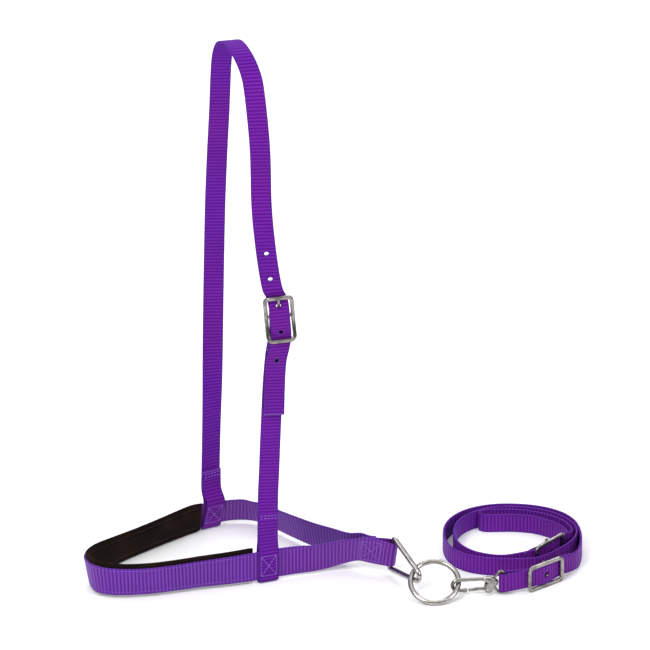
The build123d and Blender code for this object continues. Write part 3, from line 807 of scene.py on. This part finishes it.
def gate_shells():
    """The gate: a flat-sided lever with its knuckle, resting under the ball tip."""
    line = snap_line([(PIN_AT, GATE_Z), (17.0, GATE_Z + 0.1), (12.0, GATE_Z - 0.2), (8.7, GATE_Z - 0.4)])
    hub = [(-1.5, 1.1), (-1.5, 1.9), (-1.2, 2.2), (1.2, 2.2), (1.5, 1.9), (1.5, 1.1)]
    return [
        sweep(line, SNAP_SIDE, lambda s: (1.35 - 0.15 * s, 1.45 - 0.35 * s), power=2.6),
        turned(snap_point(PIN_AT, GATE_Z), SNAP_SIDE, hub),
    ]


def pin_shell():
    """The gate's pin, with its two domed, set heads."""
    heads = [(-3.75, 0.35), (-3.6, 0.8), (-3.3, 1.25), (-3.1, 1.3), (-3.1, 0.9)]
    return turned(
        snap_point(PIN_AT, GATE_Z), SNAP_SIDE, heads + [(-s, r) for s, r in heads[::-1]],
    )


# ---------------------------------------------------------------- tie-down strap

BUCKLE_LENGTH = 34.0
BUCKLE_HEIGHT = 22.6
BUCKLE_BARS = 1.5
SNAP_BUCKLE = (Vector((170.6, -30.6, 0.0)), 36.5)
END_BUCKLE = (Vector((174.2, 3.4, 0.0)), 47.7)
RAISED = 3.35


def buckle_point(buckle, along, out, z=0.0):
    """A point by a tie-down buckle: along the strap, outward and up."""
    centre, yaw = buckle
    run = unit_xy(yaw)
    return centre + run * along + Vector((run.y, -run.x, 0.0)) * out + Z * z


def through_buckle(buckle, layer):
    """Plan points of one strap layer through a buckle, left to right."""
    drop = layer * (WEB + 0.3)
    waves = [(-15.4, -2.75), (-8.0, -1.1), (0.0, 0.5), (8.0, -1.1), (15.4, -2.75)]
    return [buckle_point(buckle, along, out - drop) for along, out in waves]


TWO_TURNS = [
    (194.2, -5.0, 1.0), (197.8, 10.0, 0.1), (198.0, 26.0), (194.0, 43.0), (184.5, 56.0), (169.0, 65.0),
    (149.0, 69.2), (129.0, 68.4), (111.0, 61.6), (98.6, 49.6), (92.8, 35.0), (92.6, 19.0),
    (97.0, 5.0), (107.0, -6.0), (121.0, -12.0), (139.0, -14.2), (153.0, -14.2), (163.0, -12.4),
    (172.5, -6.8), (182.0, 2.4), (189.8, 12.0), (194.4, 23.0), (194.6, 34.0), (189.6, 44.6),
    (180.6, 54.0), (167.0, 61.4), (149.0, 65.4), (131.0, 64.6), (115.6, 57.8), (105.4, 47.6),
    (100.6, 34.6), (100.4, 20.6), (104.6, 8.6), (113.4, -1.2), (126.0, -7.2), (140.0, -9.6, 0.7),
]
END_LOOP = [
    (191.2, 27.0, 1.0), (190.0, 36.0), (183.4, 45.6), (173.0, 53.0), (160.0, 58.4), (146.0, 61.2),
    (132.0, 61.2), (124.6, 60.4), (120.4, 58.4), (120.0, 55.4), (123.6, 53.2), (132.0, 53.0),
    (146.0, 53.2), (160.0, 51.0), (171.0, 46.0), (180.4, 39.0), (186.4, 31.0), (187.0, 24.4, 1.0),
]


def on_floor(rows):
    """(point, lower edge's z) from rows of x, y and an optional z."""
    return [(Vector((x, y, 0.0)), z[0] if z else 0.1) for x, y, *z in rows]


def tie_down_keys():
    """The strap: tail, snap fold, two turns, end loop and second tail."""
    eye = snap_point(EYE, 0.0)
    fold = 1.6 + 0.35 + WEB / 2
    keys = [(Vector((189.6, -8.6, 0.0)), 1.4)]
    keys += [(p, RAISED) for p in through_buckle(SNAP_BUCKLE, 1)[::-1]]
    for k in range(9):
        turn = radians(112 + 180 * k / 8)
        keys.append((eye + Vector((fold * cos(turn), fold * sin(turn), 0.0)), 2.5))
    keys += [(p, RAISED) for p in through_buckle(SNAP_BUCKLE, 0)]
    keys += on_floor(TWO_TURNS)
    keys += [(p, RAISED) for p in through_buckle(END_BUCKLE, 0)]
    keys += on_floor(END_LOOP)
    keys += [(p, RAISED) for p in through_buckle(END_BUCKLE, 1)[::-1]]
    keys.append((buckle_point(END_BUCKLE, -24.0, -5.4), 2.6))
    width = Z * TIE_WIDTH
    return [(p + Z * z + width * 0.5, width) for p, z in keys]


def tie_buckle(buckle):
    """A flat cast frame with a centre bar behind the strap and a fixed prong."""
    low = BUCKLE_BARS
    high = BUCKLE_HEIGHT - BUCKLE_BARS
    end = BUCKLE_LENGTH / 2 - BUCKLE_BARS
    corners = [(-end, low), (-end, high), (end, high), (end, low)]
    path = rounded_path([buckle_point(buckle, s, 0, z) for s, z in corners], [2.9] * 4, True)
    back = 0.5 - (WEB + 0.3) - WEB / 2 - 0.3 - 1.2
    bar = rounded_path(
        [
            buckle_point(buckle, 0, 0, low),
            buckle_point(buckle, 0, back, low + 0.4),
            buckle_point(buckle, 0, back, high - 0.4),
            buckle_point(buckle, 0, 0, high),
        ],
        [0, 1.2, 1.2, 0],
    )
    middle = RAISED + TIE_WIDTH / 2
    prong = [buckle_point(buckle, 0, back + (1.9 - back) * k / 8, middle) for k in range(9)]
    outward = buckle_point(buckle, 0, 1) - buckle_point(buckle, 0, 0)
    return [
        sweep(path, outward, (1.6, 1.25), closed=True, power=3.4, sides=22),
        sweep(bar, unit_xy(buckle[1]), (1.15, 1.15)),
        sweep(prong, Z, lambda s: (1.25 - 0.3 * s, 1.25 - 0.3 * s)),
    ]


def buckle_hole(buckle):
    """The hole that the prong goes through: its centre and direction."""
    centre = buckle_point(buckle, 0, -0.5, RAISED + TIE_WIDTH / 2)
    return centre, (buckle_point(buckle, 0, 1) - buckle_point(buckle, 0, 0)).normalized()


# ---------------------------------------------------------------- stitching

STITCH = 2.7
STITCH_GAP = 0.75
THREAD = 0.36


def stitch_rows(lines, out, tree, lift=0.12, thread=THREAD):
    """Single stitches along lines, laid on what is first met from the out side."""
    shells = []
    for start, end in lines:
        length = (end - start).length
        count = max(1, round(length / STITCH))
        for k in range(count):
            a = (k + STITCH_GAP / STITCH / 2) / count
            b = (k + 1 - STITCH_GAP / STITCH / 2) / count
            path = []
            for j in range(7):
                point = start.lerp(end, a + (b - a) * j / 6)
                found = tree.ray_cast(point + out * 12, -out, 24)[0]
                if found is None:
                    break
                path.append(found + out * (lift - thread * 1.4 * (abs(j - 3) / 3) ** 4))
            if len(path) == 7:
                shells.append(sweep(path, out, (thread, thread), sides=8))
    return shells


def box_lines(centre, along, up, half_long, half_tall):
    """The lines of a sewn box with a cross in it."""
    def at(a, b):
        return centre + along * (a * half_long) + up * (b * half_tall)

    return [
        (at(-1, -1), at(1, -1)), (at(1, -1), at(1, 1)), (at(1, 1), at(-1, 1)), (at(-1, 1), at(-1, -1)),
        (at(-1, -1), at(1, 1)), (at(1, -1), at(-1, 1)),
    ]


def seam(middle, along):
    """Two close rows across a strap's width."""
    return [
        (middle - along * 6.8 + Z * rise, middle + along * 6.8 + Z * rise) for rise in (0.0, -2.6)
    ]


def sewn_through(lines, out, tree):
    """The same stitches on both faces of a joint."""
    out = out.normalized()
    return stitch_rows(lines, out, tree) + stitch_rows(lines, -out, tree)


def quilt_lines(side):
    """Short lines along one long edge of the lining, each with its outward direction."""
    rows = frames(evenly(smoothed(liner_keys()), STITCH), 1)
    found = []
    for (c0, h0, n0), (c1, h1, n1) in zip(rows[1:-2], rows[2:-1]):
        found.append((c0 + h0 * (side * QUILT), c1 + h1 * (side * QUILT), -(n0 + n1).normalized()))
    return found


# ---------------------------------------------------------------- materials

def node(tree, kind, inputs=None, **settings):
    """A shader node; an input may be a value or another node's output."""
    made = tree.nodes.new("ShaderNode" + kind)
    for name, value in settings.items():
        setattr(made, name, value)
    for name, value in (inputs or {}).items():
        if isinstance(value, bpy.types.NodeSocket):
            tree.links.new(value, made.inputs[name])
        else:
            made.inputs[name].default_value = value
    return made


def maths(tree, operation, a, b=0.0):
    return node(tree, "Math", {0: a, 1: b}, operation=operation).outputs[0]


def blend(tree, factor, a, b, kind="MIX"):
    """Mix two colours by factor."""
    made = node(tree, "Mix", data_type="RGBA", blend_type=kind)
    for index, value in ((0, factor), (6, a), (7, b)):
        if isinstance(value, bpy.types.NodeSocket):
            tree.links.new(value, made.inputs[index])
        else:
            made.inputs[index].default_value = value
    return made.outputs[2]


def ramp(tree, value, low, high, out_low=0.0, out_high=1.0):
    """Value from low..high to out_low..out_high, held at the ends."""
    return node(tree, "MapRange", {
        "Value": value, "From Min": low, "From Max": high, "To Min": out_low, "To Max": out_high,
    }).outputs[0]


def surface(name, **values):
    """A new material, its tree and its shader, with constant socket values."""
    material = bpy.data.materials.new(name)
    material.use_nodes = True
    shader = material.node_tree.nodes["Principled BSDF"]
    for key, value in values.items():
        shader.inputs[key.replace("_", " ")].default_value = value
    return material, material.node_tree, shader


def strap_place(tree):
    """Distances along and across a strap, in millimetres, and the rib that they are on."""
    split = node(tree, "SeparateXYZ", {0: node(tree, "UVMap", uv_map="strap").outputs[0]})
    along = maths(tree, "MULTIPLY", split.outputs[0], 100.0)
    across = maths(tree, "MULTIPLY", split.outputs[1], 100.0)
    crest = maths(tree, "ABSOLUTE", maths(tree, "SINE", maths(tree, "MULTIPLY", along, pi / RIB)))
    return along, across, crest


YARN = 1.05


def webbing_material(name, width, wear_and_painted_light):
    """Heavy ribbed nylon: warp yarns over weft ribs, with painted shade in the grooves, dark selvages and a
    painted highlight on the rib crests; the third argument adds sheen and gloss and makes that painted
    highlight paler.
    """
    material, tree, shader = surface(
        name, Sheen_Weight=0.30 * wear_and_painted_light, Sheen_Roughness=0.45, Sheen_Tint=(0.50, 0.38, 1.0, 1.0),
        Specular_IOR_Level=0.10 + 0.30 * wear_and_painted_light, Specular_Tint=(0.75, 0.45, 1.0, 1.0),
    )
    along, across, crest = strap_place(tree)
    row = maths(tree, "FLOOR", maths(tree, "DIVIDE", along, RIB))
    shift = maths(tree, "ADD", maths(tree, "DIVIDE", across, YARN), maths(tree, "MULTIPLY", row, 0.5))
    yarn = maths(tree, "ABSOLUTE", maths(tree, "SINE", maths(tree, "MULTIPLY", shift, pi)))
    stretched = node(tree, "CombineXYZ", {
        0: maths(tree, "MULTIPLY", along, 0.7), 1: maths(tree, "MULTIPLY", across, 7.0), 2: 0.0,
    }).outputs[0]
    fibres = node(tree, "TexNoise", {"Vector": stretched, "Scale": 1.0, "Detail": 4.0}).outputs[0]
    place = node(tree, "TexCoord").outputs["Object"]
    wear = node(tree, "TexNoise", {"Vector": place, "Scale": 28.0, "Detail": 3.0}).outputs[0]
    hue = node(tree, "TexNoise", {"Vector": place, "Scale": 9.0, "Detail": 1.0}).outputs[0]
    weave = maths(tree, "MULTIPLY", maths(tree, "POWER", crest, 0.8), ramp(tree, yarn, 0.0, 0.8, 0.72, 1.0))
    cloth = blend(tree, ramp(tree, hue, 0.35, 0.65), (0.125, 0.009, 0.335, 1), (0.165, 0.009, 0.275, 1))
    # Painted shade: the grooves between the ribs and between the yarns are painted darker than the cloth.
    lit = blend(tree, ramp(tree, weave, 0.1, 1.0), (0.062, 0.003, 0.175, 1), cloth)
    # Painted highlight: the rib crests are painted paler, and paler still as the third argument grows.
    crest_highlight = maths(tree, "MULTIPLY", ramp(tree, weave, 0.75, 1.0), ramp(tree, fibres, 0.35, 0.75, 0.1, 0.5))
    bright = blend(tree, crest_highlight, lit, (0.22 + 0.14 * wear_and_painted_light, 0.030 + 0.20 * wear_and_painted_light, 0.45 + 0.19 * wear_and_painted_light, 1))
    edge = maths(tree, "ABSOLUTE", across)
    selvage = ramp(tree, edge, width / 2 - 1.5, width / 2 - 0.9, 0.0, 0.45)
    bordered = blend(tree, selvage, bright, (0.060, 0.012, 0.22, 1))
    shade = ramp(tree, wear, 0.3, 0.7, 0.86, 1.0)
    grey = node(tree, "CombineColor", {0: shade, 1: shade, 2: shade}).outputs[0]
    faded = blend(tree, 1.0, bordered, grey, "MULTIPLY")
    tree.links.new(faded, shader.inputs["Base Color"])
    tree.links.new(ramp(tree, fibres, 0.3, 0.7, 0.42, 0.62), shader.inputs["Roughness"])
    height = maths(tree, "ADD", maths(tree, "MULTIPLY", yarn, crest), maths(tree, "MULTIPLY", fibres, 0.45))
    bump = node(tree, "Bump", {"Height": height, "Strength": 0.55, "Distance": 0.00022})
    tree.links.new(bump.outputs[0], shader.inputs["Normal"])
    return material


def sealed_material():
    """Nylon melted at a cut end or a punched hole: darker and glossier."""
    material, tree, shader = surface("sealed_nylon", Coat_Weight=0.2, Coat_Roughness=0.3)
    place = node(tree, "TexCoord").outputs["Object"]
    lumps = node(tree, "TexNoise", {"Vector": place, "Scale": 900.0, "Detail": 3.0}).outputs[0]
    tree.links.new(
        blend(tree, ramp(tree, lumps, 0.35, 0.65), (0.055, 0.004, 0.17, 1), (0.11, 0.012, 0.30, 1)),
        shader.inputs["Base Color"],
    )
    tree.links.new(ramp(tree, lumps, 0.3, 0.7, 0.22, 0.42), shader.inputs["Roughness"])
    bump = node(tree, "Bump", {"Height": lumps, "Strength": 0.5, "Distance": 0.0003})
    tree.links.new(bump.outputs[0], shader.inputs["Normal"])
    return material


def thread_material(name, dark, light):
    """Twisted thread: a spiral of plies round each stitch."""
    material, tree, shader = surface(name, Sheen_Weight=0.2, Specular_IOR_Level=0.45)
    split = node(tree, "SeparateXYZ", {0: node(tree, "UVMap", uv_map="strap").outputs[0]})
    lay = maths(tree, "ADD",
                maths(tree, "MULTIPLY", split.outputs[0], 100 * 2 * pi / 0.9),
                maths(tree, "MULTIPLY", split.outputs[1], 2 * pi))
    ply = ramp(tree, maths(tree, "SINE", lay), -1.0, 1.0)
    # Painted shade and highlight: along the spiral, the grooves between plies are painted dark and the ply
    # crests light.
    tree.links.new(blend(tree, ply, dark, light), shader.inputs["Base Color"])
    tree.links.new(ramp(tree, ply, 0.0, 1.0, 0.6, 0.4), shader.inputs["Roughness"])
    bump = node(tree, "Bump", {"Height": ply, "Strength": 0.6, "Distance": 0.0001})
    tree.links.new(bump.outputs[0], shader.inputs["Normal"])
    return material


def neoprene_material():
    """Black foam padding with a fine knitted face and a brown cast in patches of wear."""
    material, tree, shader = surface(
        "neoprene", Sheen_Weight=0.03, Sheen_Roughness=0.6,
        Sheen_Tint=(0.85, 0.55, 0.4, 1.0), Specular_IOR_Level=0.06,
    )
    place = node(tree, "TexCoord").outputs["Object"]
    knit = node(tree, "TexVoronoi", {"Vector": place, "Scale": 1100.0}).outputs["Distance"]
    grime = node(tree, "TexNoise", {"Vector": place, "Scale": 45.0, "Detail": 4.0}).outputs[0]
    wear_and_painted_light = blend(tree, ramp(tree, grime, 0.38, 0.68),
                 (0.0050, 0.0020, 0.0014, 1), (0.015, 0.0055, 0.0036, 1))
    dotted = blend(tree, ramp(tree, knit, 0.1, 0.7, 0.0, 0.5), wear_and_painted_light, (0.004, 0.0035, 0.0035, 1))
    tree.links.new(dotted, shader.inputs["Base Color"])
    tree.links.new(ramp(tree, grime, 0.3, 0.7, 0.95, 0.78), shader.inputs["Roughness"])
    bump = node(tree, "Bump", {"Height": knit, "Strength": 0.5, "Distance": 0.0003}, invert=True)
    tree.links.new(bump.outputs[0], shader.inputs["Normal"])
    return material


def metal_material(name, bright, dull, rough, grain):
    """Nickel plate: faint casting or drawing marks, duller patches, scratches."""
    material, tree, shader = surface(name, Metallic=1.0)
    place = node(tree, "TexCoord").outputs["Object"]
    patches = node(tree, "TexNoise", {"Vector": place, "Scale": 160.0, "Detail": 4.0}).outputs[0]
    fine = node(tree, "TexNoise", {"Vector": place, "Scale": 1500.0, "Detail": 3.0}).outputs[0]
    stretch = node(tree, "Mapping", {
        "Vector": place, "Scale": (220.0, 220.0, 2600.0), "Rotation": (0.5, 0.9, 0.3),
    })
    marks = node(tree, "TexNoise", {"Vector": stretch.outputs[0], "Scale": 1.0, "Detail": 2.0}).outputs[0]
    scratch = ramp(tree, marks, 0.66, 0.72)
    plated = blend(tree, ramp(tree, patches, 0.4, 0.66), bright, dull)
    tree.links.new(plated, shader.inputs["Base Color"])
    spread = maths(tree, "ADD", ramp(tree, patches, 0.35, 0.7, rough * 0.75, rough * 1.45),
                   maths(tree, "MULTIPLY", scratch, 0.16))
    tree.links.new(spread, shader.inputs["Roughness"])
    height = maths(tree, "SUBTRACT", maths(tree, "MULTIPLY", fine, grain),
                   maths(tree, "MULTIPLY", scratch, 0.35))
    bump = node(tree, "Bump", {"Height": height, "Strength": 0.3, "Distance": 0.00012})
    tree.links.new(bump.outputs[0], shader.inputs["Normal"])
    return material


def floor_material():
    material, _, shader = surface("paper_floor", Roughness=0.75, Specular_IOR_Level=0.2)
    shader.inputs["Base Color"].default_value = (0.90, 0.90, 0.905, 1)
    return material


# ---------------------------------------------------------------- the object

def tree_of(*objects):
    """A search tree over these pieces, in the working frame's millimetres."""
    points = []
    faces = []
    for obj in objects:
        start = len(points)
        points += [v.co * 1000 + CENTRE for v in obj.data.vertices]
        faces += [[k + start for k in f.vertices] for f in obj.data.polygons]
    return BVHTree.FromPolygons(points, faces)


def build_straps(sealed):
    """The four webbing pieces, by name."""
    # The noseband's copy gets the palest painted highlight on its crests, for the stronger light on it, and
    # more sheen.
    nose_web = webbing_material("webbing_nose", NOSE_WIDTH, 1.0)
    head_web = webbing_material("webbing_head", HEAD_WIDTH, 0.1)
    tie_web = webbing_material("webbing_tie", TIE_WIDTH, 0.3)
    straps = {}
    straps["nose"] = piece(
        "noseband_strap", [strap_shell(noseband_keys())], [nose_web, sealed],
        "halter", ["noseband_webbing"],
    )
    straps["near"] = piece(
        "near_strap", [strap_shell(near_keys())], [head_web, sealed],
        "halter", ["near_cheek_strap"],
    )
    straps["crown"] = piece(
        "crown_strap_webbing", [strap_shell(crown_keys())], [head_web, sealed],
        "halter", ["crown_strap"],
    )
    straps["tie"] = piece(
        "tie_down_strap", [strap_shell(tie_down_keys())], [tie_web, sealed],
        "tie_down", ["tie_down_webbing"],
    )
    return straps


def build_holes(straps, sealed):
    """Punched holes with melted lips, and the slots at the buckle's tongue."""
    keys = crown_keys()
    heights = HOLES_Z + (BUCKLE.z + TONGUE_HOLE_UP,)
    crown_holes = [(crown_at(keys, z), BUCKLE_OUT) for z in heights]
    tie_holes = [buckle_hole(b) for b in (SNAP_BUCKLE, END_BUCKLE)]
    slot_at = head_point(0, 3.0)
    punch(straps["crown"], crown_holes)
    punch(straps["tie"], tie_holes)
    punch(straps["near"], [(slot_at, BUCKLE_OUT)], 2.2)
    piece("crown_hole_lips", hole_rims(crown_holes[:4]), [sealed, sealed], "halter")


def build_stitching(straps):
    """Box stitches at the joints, and rows across two strap ends."""
    thread = thread_material("thread_purple", (0.085, 0.012, 0.27, 1), (0.30, 0.09, 0.62, 1))
    black = thread_material("thread_black", (0.004, 0.004, 0.004, 1), (0.03, 0.028, 0.027, 1))
    tree = tree_of(straps["nose"], straps["near"], straps["crown"])

    near = unit_xy(19.3)
    lines = box_lines(NEAR_JOIN + Z * 15.5, near, Z, 6.2, 8.6)
    end = Vector(NEAR_END[-1][:2] + (NEAR_END[-1][2] - 2.5,))
    lines += seam(end, unit_xy(7.5))
    piece("near_box_stitches", sewn_through(lines, near.cross(Z), tree), [thread],
          "halter", ["near_junction_stitching"])

    far = unit_xy(25.5)
    lean = (ACROSS * -2.9 + Z * 11.0).normalized()
    lines = box_lines(FAR_JOIN + ACROSS * -2.9 + Z * 15.5, far, lean, 6.2, 8.6)
    end = Vector(CROWN_END[-1][:2] + (CROWN_END[-1][2] - 2.5,))
    lines += seam(end, unit_xy(27))
    piece("far_box_stitches", sewn_through(lines, far.cross(Z), tree), [thread],
          "halter", ["far_junction_stitching"])

    lines = box_lines(tab_point(-15.9, -0.9), TAB_ALONG, tab_up(-15.9), 8.0, 9.6)
    piece("tab_box_stitches", sewn_through(lines, TAB_FRONT, tree), [thread],
          "halter", ["tab_stitching"])

    fold_tree = tree_of(straps["near"])
    lines = box_lines(head_point(-1.8, -24.6, -3.0), unit_xy(5), Z, 6.0, 3.5)
    piece("buckle_fold_stitches", sewn_through(lines, BUCKLE_OUT, fold_tree), [thread],
          "halter", ["buckle_fold_stitching"])

    return thread, black


def build_padding(straps, thread, black):
    """The lining and the two rows that sew it to the noseband."""
    liner = piece(
        "nose_padding", [liner_shell()], [neoprene_material()],
        "halter", ["noseband_liner"],
    )
    outer = tree_of(straps["nose"])
    inner = tree_of(liner)
    shown = []
    hidden = []
    for side in (-1, 1):
        for start, end, out in quilt_lines(side):
            shown += stitch_rows([(start, end)], out, outer, 0.02, 0.24)
            hidden += stitch_rows([(start, end)], -out, inner, 0.05, 0.26)
    piece("padding_stitches_outside", shown, [thread], "halter")
    piece("padding_stitches_inside", hidden, [black], "halter")


def build_hardware():
    """The plated pieces."""
    wire = metal_material("plated_wire", (0.44, 0.425, 0.41, 1), (0.27, 0.255, 0.245, 1), 0.16, 0.25)
    cast = metal_material("plated_casting", (0.33, 0.31, 0.295, 1), (0.17, 0.155, 0.145, 1), 0.26, 1.0)
    piece("cheek_buckle", cheek_buckle(), [cast], "halter", ["cheek_buckle_frame"])
    piece("buckle_tongue", cheek_tongue(), [cast], "halter", ["cheek_buckle_tongue"])
    piece("link_triangle", [link_shell()], [wire], "link", ["triangle_link"])
    piece("ring_welded", ring_shells(), [wire], "ring", ["noseband_ring"])
    body = hook_shells() + [casting_shell(), eye_shell()] + cheek_plates()
    piece("snap_casting", body, [cast], "snap", ["snap_hook_body"])
    piece("snap_pin_heads", [pin_shell()], [wire], "snap", ["snap_gate_pin"])
    piece("snap_lever", gate_shells(), [cast], "gate", ["snap_gate"])
    piece("strap_buckle_snap", tie_buckle(SNAP_BUCKLE), [cast], "tie_down", ["snap_end_buckle"])
    piece("strap_buckle_loop", tie_buckle(END_BUCKLE), [cast], "tie_down", ["loop_end_buckle"])


# ---------------------------------------------------------------- the studio

def build_floor():
    mesh = bpy.data.meshes.new("floor")
    reach = 14.0
    corners = [(-reach, -reach, 0), (reach, -reach, 0), (reach, reach, 0), (-reach, reach, 0)]
    mesh.from_pydata(corners, [], [(0, 1, 2, 3)])
    mesh.materials.append(floor_material())
    floor = bpy.data.objects.new("floor", mesh)
    bpy.context.scene.collection.objects.link(floor)


def softbox(name, place, target, size, power, colour=(1.0, 1.0, 1.0)):
    data = bpy.data.lights.new(name, "AREA")
    data.shape = "RECTANGLE"
    data.size = size[0]
    data.size_y = size[1]
    data.energy = power
    data.color = colour
    lamp = bpy.data.objects.new(name, data)
    lamp.location = place
    lamp.rotation_euler = (Vector(target) - Vector(place)).to_track_quat("-Z", "Y").to_euler()
    bpy.context.scene.collection.objects.link(lamp)


def build_light():
    """Three soft boxes in a pale room that is darker round the horizon."""
    softbox("key", (-0.9, -1.1, 1.5), (0.0, 0.0, 0.15), (0.9, 0.9), 25.0)
    softbox("fill", (1.3, -0.8, 0.9), (0.0, 0.0, 0.15), (0.8, 0.8), 9.0)
    softbox("back", (0.2, 1.3, 1.3), (0.0, 0.0, 0.2), (1.2, 0.6), 10.0)
    world = bpy.data.worlds.new("studio")
    world.use_nodes = True
    bpy.context.scene.world = world
    tree = world.node_tree
    split = node(tree, "SeparateXYZ", {0: node(tree, "TexCoord").outputs["Generated"]})
    height = ramp(tree, split.outputs[2], 0.30, 0.85)
    colour = blend(tree, height, (0.07, 0.07, 0.075, 1), (1.25, 1.25, 1.25, 1))
    background = tree.nodes["Background"]
    tree.links.new(colour, background.inputs["Color"])
    background.inputs["Strength"].default_value = 1.0


def build_camera():
    """From 30 degrees above the front, as in a catalogue view."""
    data = bpy.data.cameras.new("camera")
    distance = 20.0
    view_width = 0.5005
    data.sensor_width = 36.0
    data.lens = 36.0 * distance / view_width
    data.clip_end = 100.0
    camera = bpy.data.objects.new("camera", data)
    target = Vector((-0.0061, -0.0046, 0.216))
    camera.location = target + Vector((0.0, -cos(radians(30)), sin(radians(30)))) * distance
    camera.rotation_euler = (radians(60), 0.0, 0.0)
    bpy.context.scene.collection.objects.link(camera)
    bpy.context.scene.camera = camera


def main():
    sealed = sealed_material()
    straps = build_straps(sealed)
    thread, black = build_stitching(straps)
    build_padding(straps, thread, black)
    build_holes(straps, sealed)
    build_hardware()
    build_floor()
    build_light()
    build_camera()
    bpy.context.scene.view_settings.view_transform = "Standard"


main()
